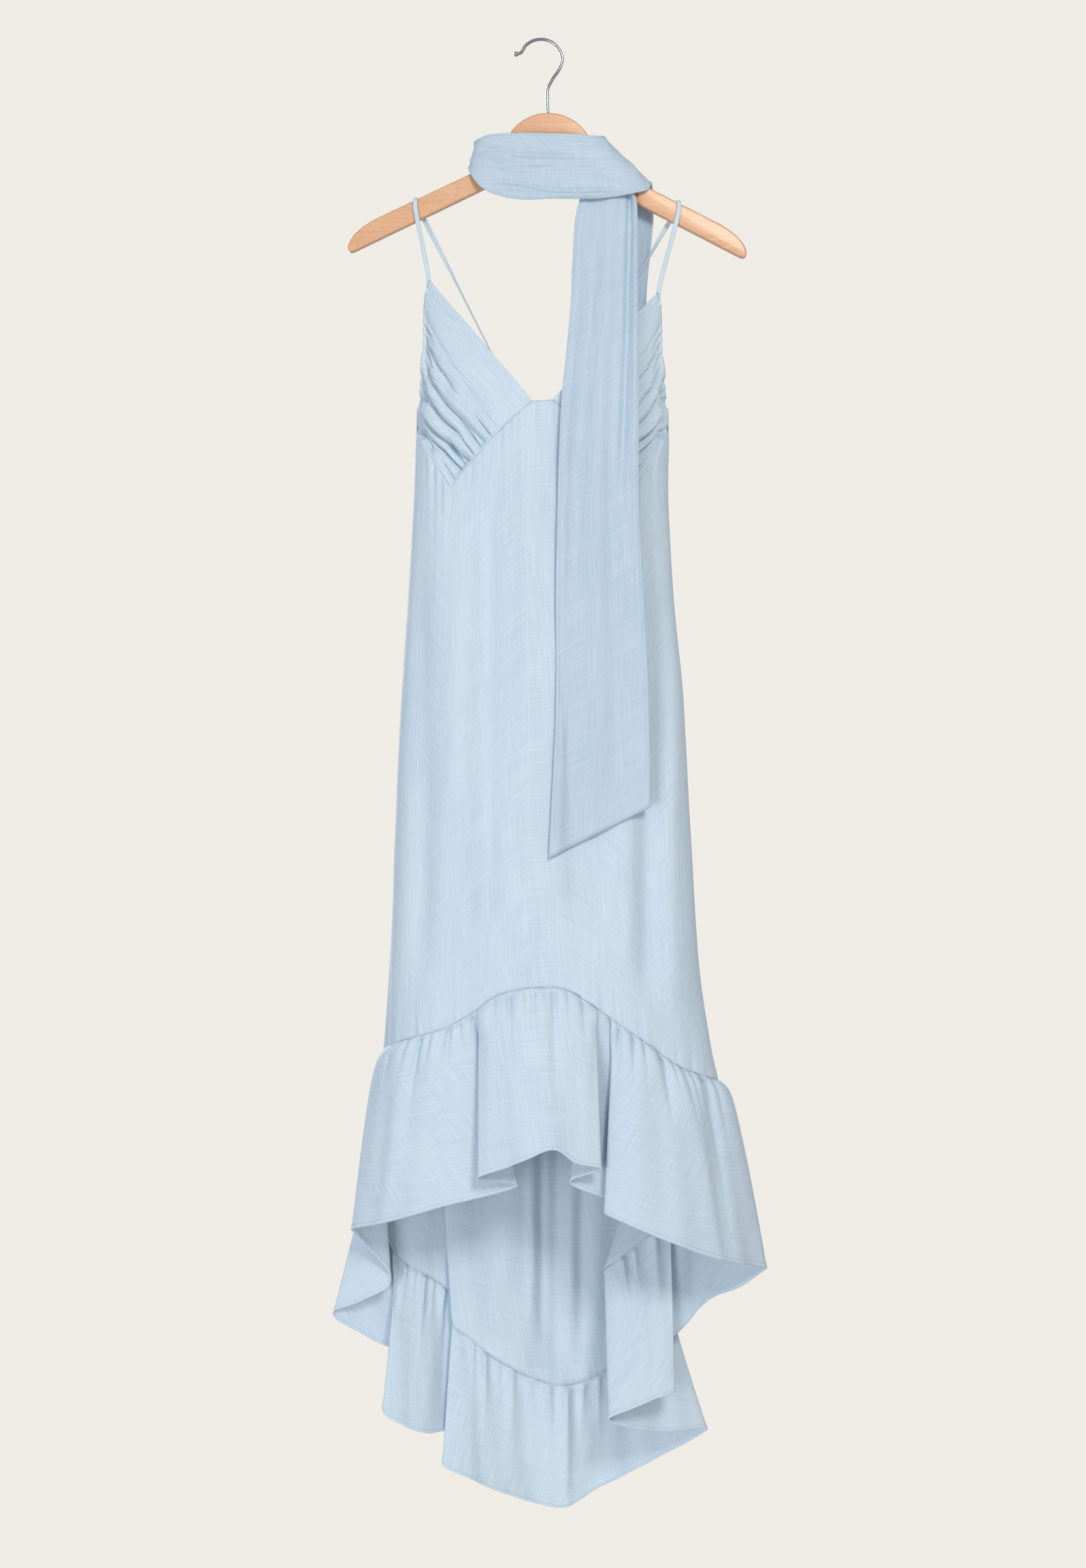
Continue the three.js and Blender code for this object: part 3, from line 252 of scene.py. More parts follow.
plate, plate_faces = rounded_plate(hanger_outline(), HANGER_THICK, HANGER_EDGE, EDGE_STEPS)
raised = plate[:, 2] + HEAD_DOWN
lean_cos, lean_sin = math.cos(HANGER_LEAN), math.sin(HANGER_LEAN)
hanger_points = np.stack(
    [
        plate[:, 0] * lean_cos + raised * lean_sin + HANGER_CENTRE,
        plate[:, 1],
        raised * lean_cos - plate[:, 0] * lean_sin - HEAD_DOWN,
    ],
    axis=1,
)
hanger = new_piece("beech_hanger", hanger_points, plate_faces, beech)
fit_piece(hanger, "beech", "hanger_body")


# Hook: steel wire bent to a question mark, with a small ball upset at its tip, screwed into
# the head and chromed bright.

# Bright chrome: it mirrors the pale room in light and dark bands, a little broken by the wire's
# drawing marks of about 1 mm
chrome, tree = new_material("bright_chromed_wire")
place = add_node(tree, "ShaderNodeTexCoord").outputs["Object"]
drawing_marks = uneven(tree, place, (900, 900, 900), 2.0, 0.5)
dull = add_node(
    tree, "ShaderNodeMapRange", {"Value": drawing_marks, "To Min": 0.16, "To Max": 0.28}
)
finish_material(
    tree,
    {
        "Base Color": linear_colour("#9B9EA3"),
        "Metallic": 1.0,
        "Roughness": dull.outputs["Result"],
    },
)

WIRE_RADIUS = 1.7
WIRE_SIDES = 20
WIRE_STEPS = 160
HOOK_RADIUS = 23.6  # of its bend, in the middle of the wire
HOOK_BEND = (2.75, 0.12)  # radians above level, from where the bend runs and to where
HOOK_BALL = 2.8
HOOK_TIP = [(-30, 15.4), (-26.5, 14.4)]  # x and down
HOOK_STEM = [(20.4, 31), (13, 42), (7.4, 54), (7.3, 66), (7.6, 79.85)]


def smooth_curve(points, samples):
    """Centripetal curve through points; each sample is a point's number and a share onwards."""
    points = np.asarray(points, dtype=float)
    ends = [2 * points[0] - points[1]], [2 * points[-1] - points[-2]]
    padded = np.concatenate([ends[0], points, ends[1]])
    index = np.clip(np.floor(samples).astype(int), 0, len(points) - 2)
    share = (samples - index)[:, None]
    p0, p1, p2, p3 = (padded[index + i] for i in range(4))

    def knot(a, b):
        return np.maximum(np.linalg.norm(b - a, axis=1)[:, None], 1e-6) ** 0.5

    d0, d1, d2 = knot(p0, p1), knot(p1, p2), knot(p2, p3)
    start = ((p1 - p0) / d0 - (p2 - p0) / (d0 + d1) + (p2 - p1) / d1) * d1
    end = ((p2 - p1) / d1 - (p3 - p1) / (d1 + d2) + (p3 - p2) / d2) * d1
    return (
        p1
        + start * share
        + (-3 * p1 + 3 * p2 - 2 * start - end) * share**2
        + (2 * p1 - 2 * p2 + start + end) * share**3
    )


def evenly(points, count):
    """The same path with its points at even distances, and how far along it they lie."""
    length = np.concatenate([[0], np.cumsum(np.linalg.norm(np.diff(points, axis=0), axis=1))])
    at = np.linspace(0, length[-1], count)
    return np.stack([np.interp(at, length, points[:, i]) for i in range(3)], axis=1), at


def tube(path, radii, sides, flatten=None, across=None):
    """Closed tube along a path; flatten gives a second radius, and across its first direction."""
    tangent = unit(np.gradient(path, axis=0))
    first = np.broadcast_to((0.0, 1.0, 0.0), path.shape) if across is None else across
    first = unit(first - tangent * np.sum(first * tangent, axis=1)[:, None])
    second = np.cross(tangent, first)
    angles = np.linspace(0, 2 * math.pi, sides, endpoint=False)
    other = radii if flatten is None else flatten
    return closed_rings(
        path[:, None, :]
        + first[:, None, :] * (radii[:, None] * np.cos(angles))[..., None]
        + second[:, None, :] * (other[:, None] * np.sin(angles))[..., None]
    )


bend = np.linspace(*HOOK_BEND, 8)
bend_down = HOOK_RADIUS - WIRE_RADIUS - HOOK_RADIUS * np.sin(bend)
bend_points = np.stack([HOOK_RADIUS * np.cos(bend), bend_down], axis=1)
hook_knots = np.concatenate([HOOK_TIP, bend_points, HOOK_STEM])
hook_knots = np.stack([hook_knots[:, 0], 0 * hook_knots[:, 0], -hook_knots[:, 1]], axis=1)
hook_curve = smooth_curve(hook_knots, np.linspace(0, len(hook_knots) - 1, 400))
hook_path, hook_along = evenly(hook_curve, WIRE_STEPS)
ball = np.sqrt(np.maximum(HOOK_BALL**2 - (hook_along - HOOK_BALL) ** 2, 0.01))
hook_radii = np.where(hook_along < HOOK_BALL, ball, np.maximum(ball, WIRE_RADIUS))
hook_points, hook_faces = tube(hook_path, hook_radii, WIRE_SIDES)
hook = new_piece("chromed_hook", hook_points, hook_faces, chrome)
fit_piece(hook, "hook_wire", "hanger_hook")


# Front of the body: one long panel of light woven viscose and linen, cut with soft flare and
# an arched lower edge. It hangs in a few soft folds from the gathers under the cups.

CLOTH_THICK = 0.8
HEM_EXTRA = 0.9  # thickness that a folded hem adds
HEM_WIDTH = 8
ROUNDNESS = 2.35  # of a level section of the dress, 2 is an ellipse


def table(*rows):
    return np.array(rows, dtype=float)


# down from the hook, left and right side seams, and how far the dress stands forward and back
BODY = table(
    (180, -139, 136, 16, 16),
    (264, -138, 138, 30, 26),
    (356, -136, 139, 50, 36),
    (431, -137, 140.5, 56, 42),
    (506, -140, 140, 53, 42),
    (615, -146, 146, 53, 46),
    (750, -155, 157, 58, 53),
    (885, -161, 165, 63, 58),
    (1020, -165, 174, 68, 64),
    (1110, -167, 187, 72, 68),
    (1149, -168, 195, 74, 70),
    (1300, -172, 204, 76, 76),
    (1500, -176, 208, 78, 82),
)


def weighted(tree, parts):
    """Sum of sockets, each times its weight."""
    total = 0.0
    for socket, weight in parts:
        inputs = {0: socket, 1: weight, 2: total}
        total = add_node(tree, "ShaderNodeMath", inputs, operation="MULTIPLY_ADD").outputs[0]
    return total


def woven_cloth(name, stops):
    """Pale blue plain weave of thick and thin threads, soft and matt. Its slubs show as faint
    short streaks both ways. Real threads are 0.35 mm: the fine weave is drawn at 0.5 mm and the
    slubs at 1.2 to 1.5 mm, so that they can be seen."""
    material, tree = new_material(name)
    place = add_node(tree, "ShaderNodeUVMap", uv_map="cloth").outputs["UV"]
    warp_slubs = uneven(tree, place, (700, 18, 1), 2.0)
    weft_slubs = uneven(tree, place, (16, 800, 1), 2.0, offset=(3, 7, 0))
    fine_weave = uneven(tree, place, (1900, 1900, 1), 1.0, offset=(11, 5, 0))
    patches = uneven(tree, place, (14, 5, 1), 3.0, offset=(1, 9, 0))
    relief = weighted(tree, [(warp_slubs, 0.5), (weft_slubs, 0.5), (fine_weave, 0.35)])
    tone = weighted(tree, [(warp_slubs, 0.4), (weft_slubs, 0.4), (patches, 0.2)])
    bump = add_node(
        tree, "ShaderNodeBump", {"Height": relief, "Strength": 0.35, "Distance": 0.0006}
    )
    colour = add_node(tree, "ShaderNodeValToRGB", {"Fac": tone}, stops)
    finish_material(
        tree,
        {
            "Base Color": colour.outputs["Color"],
            "Roughness": 0.78,
            "Sheen Weight": 0.2,
            "Sheen Roughness": 0.45,
            "Sheen Tint": linear_colour("#E6F0FA"),
            "Normal": bump.outputs["Normal"],
        },
    )
    return material


CLOTH_TONES = [(0.36, "#B6CADA"), (0.5, "#C2D4E1"), (0.64, "#CDDCE6")]
cloth = woven_cloth("slubbed_viscose_linen", CLOTH_TONES)


def smooth_row(at, known, values):
    """Smooth curve through a table's rows, read at any height or place."""
    slope = np.gradient(values, known)
    slope[1:-1] = (values[2:] - values[:-2]) / (known[2:] - known[:-2])
    k = np.clip(np.searchsorted(known, at, side="right") - 1, 0, len(known) - 2)
    span = known[k + 1] - known[k]
    t = np.clip((at - known[k]) / span, 0, 1)
    return (
        values[k] * (2 * t**3 - 3 * t**2 + 1)
        + slope[k] * span * (t**3 - 2 * t**2 + t)
        + values[k + 1] * (3 * t**2 - 2 * t**3)
        + slope[k + 1] * span * (t**3 - t**2)
    )


def ease(value, start, end):
    t = np.clip((value - start) / (end - start), 0, 1)
    return t * t * (3 - 2 * t)


def hump(distance, width):
    return np.exp(-((distance / width) ** 2))


def signed_power(value, power):
    return np.sign(value) * np.abs(value) ** power


def section_at(down):
    left, right, front, back = (smooth_row(down, BODY[:, 0], BODY[:, i]) for i in range(1, 5))
    return (left + right) / 2, (right - left) / 2, front, back


def skin(turn, down, side):
    """A point of the plain dress; turn runs from 0 at the left side seam to 1 at the right."""
    turn = np.clip(turn, 0, 1)
    middle, half, front, back = section_at(down)
    depth = -front if side == "front" else back
    x = middle - half * signed_power(np.cos(math.pi * turn), 2 / ROUNDNESS)
    y = depth * np.maximum(np.sin(math.pi * turn), 0) ** (2 / ROUNDNESS)
    return np.stack(np.broadcast_arrays(x, y, -down), axis=-1)


def outward(turn, down, side):
    """Level direction out of the plain dress at that point."""
    turn = np.clip(turn, 0, 1)
    _, half, front, back = section_at(down)
    depth = -front if side == "front" else back
    x = -signed_power(np.cos(math.pi * turn), 2 - 2 / ROUNDNESS) / half
    y = np.maximum(np.sin(math.pi * turn), 0) ** (2 - 2 / ROUNDNESS) / depth
    return unit(np.stack(np.broadcast_arrays(x, y, 0 * down), axis=-1))


def turn_at(x, down):
    """The turn at which the plain dress has that x."""
    middle, half, _, _ = section_at(down)
    reach = np.clip((x - middle) / half, -1, 1)
    return np.arccos(-signed_power(reach, ROUNDNESS / 2)) / math.pi


def grid_normals(grid, ring=False):
    if ring:
        across = np.roll(grid, -1, axis=1) - np.roll(grid, 1, axis=1)
    else:
        across = np.gradient(grid, axis=1)
    normal = np.cross(np.gradient(grid, axis=0), across)
    return normal / np.maximum(np.linalg.norm(normal, axis=-1), 1e-9)[..., None]


def cloth_wall(name, grid, normals, flat, doubled=None, material=cloth):
    """A closed thin wall around a grid of points; it is thicker where a hem is folded double."""
    rows, columns = grid.shape[:2]
    half = CLOTH_THICK / 2 * np.ones((rows, columns, 1))
    if doubled is not None:
        half = half + HEM_EXTRA / 2 * np.broadcast_to(doubled, (rows, columns))[..., None]
    outer, inner = grid + normals * half, grid - normals * half
    points = np.concatenate([outer.reshape(-1, 3), inner.reshape(-1, 3)])
    index = np.arange(rows * columns).reshape(rows, columns)
    back = index + rows * columns
    sheets = [
        (index[:-1, :-1], index[1:, :-1], index[1:, 1:], index[:-1, 1:]),
        (back[:-1, :-1], back[:-1, 1:], back[1:, 1:], back[1:, :-1]),
        (index[:-1, 0], back[:-1, 0], back[1:, 0], index[1:, 0]),
        (index[:-1, -1], index[1:, -1], back[1:, -1], back[:-1, -1]),
        (index[0, :-1], index[0, 1:], back[0, 1:], back[0, :-1]),
        (index[-1, :-1], back[-1, :-1], back[-1, 1:], index[-1, 1:]),
    ]
    faces = np.concatenate([np.stack([c.ravel() for c in sheet], axis=1) for sheet in sheets])
    a, b, c, d = (points[faces[:, i]] for i in range(4))
    volume = np.sum(a * np.cross(b, c)) + np.sum(a * np.cross(c, d))
    if volume < 0:
        faces = faces[:, ::-1]
    place = np.concatenate([flat.reshape(-1, 2)] * 2)
    return new_piece(name, points, faces.tolist(), material, place)


def flat_place(grid):
    """Where each point lies in the flat cloth: how far along its row and down its column."""
    across = np.linalg.norm(np.diff(grid, axis=1), axis=-1)
    down = np.linalg.norm(np.diff(grid, axis=0), axis=-1)
    u = np.concatenate([np.zeros((grid.shape[0], 1)), np.cumsum(across, axis=1)], axis=1)
    u -= u[:, -1:] / 2
    v = np.concatenate([np.zeros((1, grid.shape[1])), np.cumsum(down, axis=0)], axis=0)
    return np.stack([u, v - v[-1].mean()], axis=-1)


def cloth_piece(piece, cut, area, held, rests_on, *nodes):
    """Ties a cloth piece to the dress. The size in metres that it was cut to is not used."""
    fit_piece(piece, "cloth", *nodes)


# top edge of the front panel and the arched seam at its lower edge, by x and down
FRONT_TOP = table(
    (-137.2, 435),
    (-131, 444),
    (-115, 468),
    (-98, 496),
    (-9, 404),
    (12.6, 402),
    (103, 494),
    (119, 468),
    (134, 444),
    (140.5, 435),
)
FRONT_SEAM = table(
    (-167, 1111),
    (-111, 1087),
    (-75, 1068),
    (-47, 1048),
    (9, 1039),
    (32, 1044),
    (57, 1060),
    (101, 1091),
    (153, 1128),
    (196, 1149),
)

# soft folds: x, height out of the panel, width, and from and to which depth they run
PANEL_FOLDS = [
    (-130, -4.0, 13, 620, 1050),
    (-92, 5.2, 24, 560, 1010),
    (-60, -9.5, 16, 500, 1000),
    (-14, 7.0, 15, 440, 940),
    (12, 5.0, 18, 470, 970),
    (34, -4.2, 11, 560, 1000),
    (62, -5.4, 18, 620, 1020),
    (92, 4.0, 15, 640, 1040),
    (118, -7.0, 15, 600, 1070),
    (142, 4.0, 13, 680, 1090),
]
FOLD_RISE, FOLD_FALL = 70, 60  # how slowly a fold comes up and dies out, along it


def panel_fold(x, down, folds=PANEL_FOLDS):
    out = 0.0
    for at, height, width, start, end in folds:
        strength = ease(down, start - FOLD_RISE, start + FOLD_RISE)
        strength = strength * (1 - ease(down, end - FOLD_FALL, end))
        out = out + height * strength * hump(x - at, width)
    return out


seam_turns = turn_at(FRONT_SEAM[:, 0], FRONT_SEAM[:, 1])
seam_turns[0], seam_turns[-1] = 0, 1
top_turns = turn_at(FRONT_TOP[:, 0], FRONT_TOP[:, 1])
top_turns[0], top_turns[-1] = 0, 1
PANEL_COLUMNS = 190
PANEL_ROWS = 170
SEAM_PUCKER = 16  # how far puckers reach up from the arched seam
CUP_PUCKER = 36  # and down from the gathers under the cups


def side_calm(turns):
    """1 over the front or back, falling to 0 at the side seams."""
    return np.sin(math.pi * turns) ** 0.35


def wander(place, seed, wavelengths, size):
    """Soft uneven waves along a line, the same each run."""
    chance = np.random.default_rng(seed)
    total = 0 * place
    for wavelength in wavelengths:
        shift = chance.uniform(0, 2 * math.pi)
        stretch = chance.uniform(0.85, 1.2)
        total = total + np.sin(2 * math.pi * place / (wavelength * stretch) + shift)
    return size * total / len(wavelengths)


front_turns = np.linspace(0, 1, PANEL_COLUMNS)
front_top = np.interp(front_turns, top_turns, FRONT_TOP[:, 1])
front_low = smooth_row(front_turns, seam_turns, FRONT_SEAM[:, 1])
level = np.linspace(0, 1, PANEL_ROWS)[:, None]
front_down = front_top + (front_low - front_top) * level
front_grid = skin(front_turns, front_down, "front")
front_out = outward(front_turns, front_down, "front")
x = front_grid[..., 0]
above_seam = front_low - front_down
below_top = front_down - front_top
at_seam = np.exp(-above_seam / SEAM_PUCKER) * ease(above_seam, 0, 3)
at_cups = np.exp(-below_top / CUP_PUCKER) * ease(below_top, 0, 3)
pucker_at_seam = wander(x, 3, (9, 13, 19), 1.8) * at_seam
pucker_at_cups = wander(x, 4, (8, 12, 17), 2.4) * at_cups
crumple = wander(x + 0.1 * front_down, 5, (31, 47), 0.7)
crumple = crumple + wander(front_down - 0.3 * x, 6, (90, 140), 0.5)
loose_relief = (pucker_at_seam + pucker_at_cups + crumple) * side_calm(front_turns)
relief_out = panel_fold(x, front_down) + loose_relief
front_grid = front_grid + front_out * relief_out[..., None]
front_panel = cloth_wall("front_body", front_grid, front_out, flat_place(front_grid))
cloth_piece(front_panel, (0.46, 0.78), 0.235, "hung", ["hanger_body"], "front_panel")


# Ruffle: a deep strip of the same cloth, about 1.4 times as long as its seam, gathered onto the
# arched front and the long curved back. It falls in loose folds and is hemmed narrow.

# each row: where a line of cloth leaves the front seam (x), its hem (x, y, down), and its steps
FRONT_RUFFLE = table(
    (-167, -210, -2, 1310, 6),
    (-136, -162, -45, 1295, 6),
    (-98, -110, -62, 1278, 7),
    (-71, -25, -64, 1254, 6),
    (-66, -68, -86, 1244, 5),
    (-42, -35, -99, 1230, 4),
    (-21, -15, -106, 1221, 4),
    (9, 14, -104, 1211, 4),
    (34, 38, -98, 1226, 4),
    (56, 65, -90, 1233, 5),
    (61, 31, -72, 1250, 7),
    (71, 94, -55, 1278, 5),
    (83, 68, -79, 1281, 4),
    (95, 92, -88, 1292, 5),
    (115, 135, -84, 1311, 6),
    (150, 191, -60, 1334, 7),
    (196, 250, -5, 1352, 0),
)

# each row, left to right along the back: seam (x, y, down), hem (x, y, down), and its steps
BACK_RUFFLE = table(
    (-167, 0, 1111, -210, -2, 1310, 3),
    (-173, 9, 1150, -191, 11, 1333, 2),
    (-180, 16, 1193, -165, 24, 1372, 3),
    (-184, 22, 1215, -200, 32, 1395, 3),
    (-188, 28, 1240, -233, 42, 1411, 3),
    (-187, 36, 1284, -196, 54, 1438, 3),
    (-172, 42, 1322, -146, 60, 1470, 4),
    (-158, 45, 1350, -176, 20, 1514, 3),
    (-139, 50, 1363, -150, 20, 1532, 3),
    (-119, 56, 1376, -127, 31, 1542, 3),
    (-101, 61, 1390, -101, 54, 1544, 2),
    (-89, 62, 1407, -79, 67, 1558, 3),
    (-100, 49, 1424, -111, 36, 1577, 3),
    (-79, 46, 1440, -80, 40, 1594, 3),
    (-44, 52, 1467, -44, 62, 1615, 5),
    (22, 66, 1496, 22, 100, 1638, 4),
    (69, 73, 1483, 71, 98, 1615, 4),
    (106, 75, 1451, 124, 84, 1585, 4),
    (150, 64, 1425, 187, 58, 1542, 4),
    (126, 51, 1403, 140, 38, 1541, 3),
    (97, 39, 1381, 106, 22, 1535, 3),
    (70, 24, 1361, 74, 2, 1521, 3),
    (87, 15, 1345, 100, -8, 1507, 3),
    (108, 14, 1329, 125, -10, 1496, 3),
    (141, 16, 1298, 148, -4, 1486, 3),
    (153, 24, 1262, 128, 13, 1457, 4),
    (172, 24, 1224, 161, 24, 1420, 3),
    (184, 15, 1191, 187, 25, 1392, 3),
    (191, 7, 1166, 219, 14, 1377, 3),
    (195, 0, 1149, 250, -5, 1352, 0),
)
COLUMNS_A_STEP = 5
RUFFLE_ROWS = 60
FRONT_FLARE = 0.62  # the front swings out fastest just below its seam
BACK_FLARE = 1.05
BACK_FLARE_FROM, BACK_FLARE_TO = 1150, 1260  # depths of the seam between which it changes
CLOSER_ROWS = 0.55  # share of the rows' spacing that narrows towards the seam and the hem


def stations(steps):
    """Place of each column: number of its table row and share of the way to the next."""
    places = [
        np.linspace(k, k + 1, int(count) * COLUMNS_A_STEP, endpoint=False)
        for k, count in enumerate(steps[:-1])
    ]
    return np.concatenate(places + [[len(steps) - 1]])


def heights_up(points):
    return np.stack([points[:, 0], points[:, 1], -points[:, 2]], axis=1)


front_at = stations(FRONT_RUFFLE[:, 4])
row_x = FRONT_RUFFLE[:, 0]
row_turns = turn_at(row_x, smooth_row(row_x, FRONT_SEAM[:, 0], FRONT_SEAM[:, 1]))
row_turns[0], row_turns[-1] = 0, 1
column_turns = np.interp(front_at, np.arange(len(row_turns)), row_turns)
column_downs = smooth_row(column_turns, seam_turns, FRONT_SEAM[:, 1])
front_seam = skin(column_turns, column_downs, "front")
front_hem = smooth_curve(heights_up(FRONT_RUFFLE[:, 1:4]), front_at)
back_at = stations(BACK_RUFFLE[:, 6])
back_seam = smooth_curve(heights_up(BACK_RUFFLE[:, 0:3]), back_at)
back_hem = smooth_curve(heights_up(BACK_RUFFLE[:, 3:6]), back_at)
front_count = len(front_at)

# both as one ring, so that the cloth runs on smoothly over the side seams
ring_seam = np.concatenate([front_seam, back_seam[1:-1][::-1]])
ring_hem = np.concatenate([front_hem, back_hem[1:-1][::-1]])


def round_folds(ring):
    """Takes the sharpness out of the tightest turns of the folds."""
    reach = COLUMNS_A_STEP
    before, after = np.roll(ring, reach, axis=0), np.roll(ring, -reach, axis=0)

    def level_length(steps):
        return np.linalg.norm(steps[:, :2], axis=1)

    path = level_length(before - ring) + level_length(after - ring)
    turned = 1 - level_length(after - before) / np.maximum(path, 1e-6)
    weight = np.minimum(1.4 * turned, 0.75)
    near = sum(np.roll(ring, i, axis=0) for i in range(-reach, reach + 1)) / (2 * reach + 1)
    for _ in range(2):
        weight = (np.roll(weight, 1) + weight + np.roll(weight, -1)) / 3
    return ring + (near - ring) * weight[:, None]


ring_hem = round_folds(ring_hem)
rounded_seam = round_folds(ring_seam)
ring_seam[front_count:] = rounded_seam[front_count:]

ring_across = np.roll(ring_seam, -1, axis=0) - np.roll(ring_seam, 1, axis=0)
level_across = ring_across * (1, 1, 0)
level_out = np.stack([level_across[:, 1], -level_across[:, 0], 0 * level_across[:, 0]], axis=1)
level_out = unit(level_out)

fall_steps = np.linspace(0, 1, RUFFLE_ROWS)
falls = (1 - CLOSER_ROWS) * fall_steps + CLOSER_ROWS * ease(fall_steps, -0.06, 1.06)
falls = (falls - falls[0]) / (falls[-1] - falls[0])
to_back = ease(-ring_seam[:, 2], BACK_FLARE_FROM, BACK_FLARE_TO)
flare = FRONT_FLARE + (BACK_FLARE - FRONT_FLARE) * to_back
swing = falls[:, None] ** flare[None, :]
ring = np.stack(
    [
        ring_seam[:, 0] + (ring_hem[:, 0] - ring_seam[:, 0]) * swing,
        ring_seam[:, 1] + (ring_hem[:, 1] - ring_seam[:, 1]) * swing,
        ring_seam[:, 2] + (ring_hem[:, 2] - ring_seam[:, 2]) * falls[:, None],
    ],
    axis=-1,
)


def ruffle_normals(ring):
    """Directions out of the cloth, level along the seam, where it meets the body."""
    out = grid_normals(ring, ring=True)
    if np.sum(out[6] * level_out) < 0:
        out *= -1
    out[0] = level_out
    return out


ring_out = ruffle_normals(ring)

ring_path = np.cumsum(np.linalg.norm(np.diff(ring_seam, axis=0, prepend=ring_seam[-1:]), axis=1))
fall_length = np.linalg.norm(ring_hem - ring_seam, axis=1)
below_seam = falls[:, None] * fall_length


# Creases drawn in by the gathering thread. On the front: x at the seam; on the back: number and
# share of the row of the table above. Then depth, width and length down the ruffle.
FRONT_CREASES = [
    (-158, 3.0, 3.5, 30),
    (-144, 4.5, 3.0, 26),
    (-130, 8.0, 3.6, 62),
    (-119, 5.0, 2.6, 28),
    (-109, 2.6, 2.4, 20),
    (-99, 8.5, 3.8, 50),
    (-90, 5.0, 3.0, 34),
    (-78, 6.5, 3.4, 60),
    (-51, 3.5, 2.6, 30),
    (-35, 6.0, 3.2, 44),
    (-17, 3.0, 2.2, 22),
    (-10, 5.5, 3.0, 56),
    (4, 2.6, 2.4, 24),
    (13, 6.5, 3.6, 70),
    (29, 3.8, 2.6, 30),
    (44, 5.0, 3.0, 40),
    (72, 6.0, 3.2, 40),
    (87, 5.5, 3.2, 60),
    (100, 6.0, 3.0, 34),
    (110, 4.2, 2.6, 26),
    (128, 8.5, 3.8, 48),
    (140, 3.0, 2.6, 20),
    (151, 6.0, 3.2, 38),
    (160, 4.0, 2.6, 28),
    (174, 9.0, 5.0, 120),
    (185, 4.0, 3.0, 40),
]
BACK_CREASES = [
    (0.5, 4.0, 3.0, 30),
    (1.6, 5.0, 3.0, 40),
    (2.4, 3.5, 2.6, 26),
    (3.5, 5.5, 3.2, 50),
    (4.3, 4.0, 3.0, 30),
    (5.4, 4.5, 3.0, 36),
    (6.5, 5.0, 3.4, 44),
    (7.4, 5.0, 2.8, 40),
    (7.9, 3.5, 2.4, 26),
    (8.4, 7.0, 3.2, 58),
    (8.9, 4.0, 2.6, 30),
    (9.5, 6.5, 3.0, 46),
    (10.3, 4.0, 2.6, 30),
    (11.4, 5.0, 3.0, 36),
    (12.5, 6.0, 3.4, 52),
    (13.1, 5.0, 2.8, 34),
    (13.5, 7.5, 3.4, 66),
    (13.9, 4.5, 2.6, 30),
    (14.2, 6.5, 3.2, 44),
    (14.5, 4.0, 2.6, 30),
    (14.8, 7.0, 3.4, 60),
    (15.12, 9.5, 4.4, 190),
    (15.5, 6.5, 3.2, 48),
    (15.9, 5.0, 3.0, 56),
    (16.4, 6.5, 3.2, 40),
    (17.1, 5.0, 2.8, 34),
    (17.6, 6.5, 3.4, 54),
    (18.4, 4.5, 3.0, 40),
    (19.5, 4.5, 2.8, 36),
    (20.5, 5.5, 3.0, 40),
    (21.4, 6.0, 3.0, 48),
    (22.2, 7.0, 3.2, 60),
    (22.8, 4.0, 2.6, 30),
    (23.5, 6.5, 3.2, 50),
    (24.4, 4.5, 2.8, 36),
    (25.5, 5.0, 3.0, 44),
    (26.5, 4.5, 3.0, 36),
    (27.4, 5.5, 3.2, 46),
    (28.5, 4.0, 2.8, 30),
]
CREASE_DEPTH = 1.7  # of each depth above, as the cloth puffs out between them
CREASE_SPREAD = 45  # distance below the seam at which a crease is twice as wide
PUFF = 7  # how far the ruffle springs out under its seam between the creases
PUFF_RISE, PUFF_FADE = 7, 95  # distances below the seam over which the puff comes and goes


def gathers(path, creases, below):
    """Puffs between sharp creases that widen and die out, each at its own length."""
    relief = PUFF * (1 - np.exp(-below / PUFF_RISE)) * np.exp(-below / PUFF_FADE)
    for at, depth, width, length in creases:
        spread = width * (1 + below / CREASE_SPREAD)
        reach = np.exp(-np.sqrt((path - at) ** 2 + 0.6) / spread)
        fade = np.exp(-((below / length) ** 1.5))
        relief = relief - CREASE_DEPTH * depth * reach * fade * ease(below, 0, 5)
    return relief


def openness(points):
    """1 where the cloth runs straight on, falling to 0 in the turn of a sharp fold."""
    reach = 4 * COLUMNS_A_STEP
    step = np.linalg.norm((np.roll(points, -1, axis=-2) - points)[..., :2], axis=-1)
    path = sum(np.roll(step, i, axis=-1) for i in range(-reach, reach))
    chord = np.roll(points, -reach, axis=-2) - np.roll(points, reach, axis=-2)
    straight = np.linalg.norm(chord[..., :2], axis=-1) / np.maximum(path, 1e-6)
    return ease(straight, 0.45, 0.95)


front_crease_places = [
    (np.interp(x, front_seam[:, 0], ring_path[:front_count]), *rest) for x, *rest in FRONT_CREASES
]
back_path_places = np.concatenate([[ring_path[-1] + 1], ring_path[front_count - 1 :][::-1]])
back_crease_places = [
    (np.interp(row, back_at, back_path_places), *rest) for row, *rest in BACK_CREASES
]
puffs = gathers(ring_path, front_crease_places + back_crease_places, below_seam)
loose = wander(ring_path, 12, (46, 71, 33), 2.2) * np.sin(math.pi * falls)[:, None]
hem_wave = wander(ring_path, 13, (58, 37), 1.6) * falls[:, None] ** 2
ring_relief = (puffs + loose + hem_wave) * openness(ring)
ring_relief[0] = 0
ring = ring + ring_out * ring_relief[..., None]
ring_out = ruffle_normals(ring)

ring_hemmed = ease(below_seam, fall_length - HEM_WIDTH, fall_length - HEM_WIDTH + 1.5)


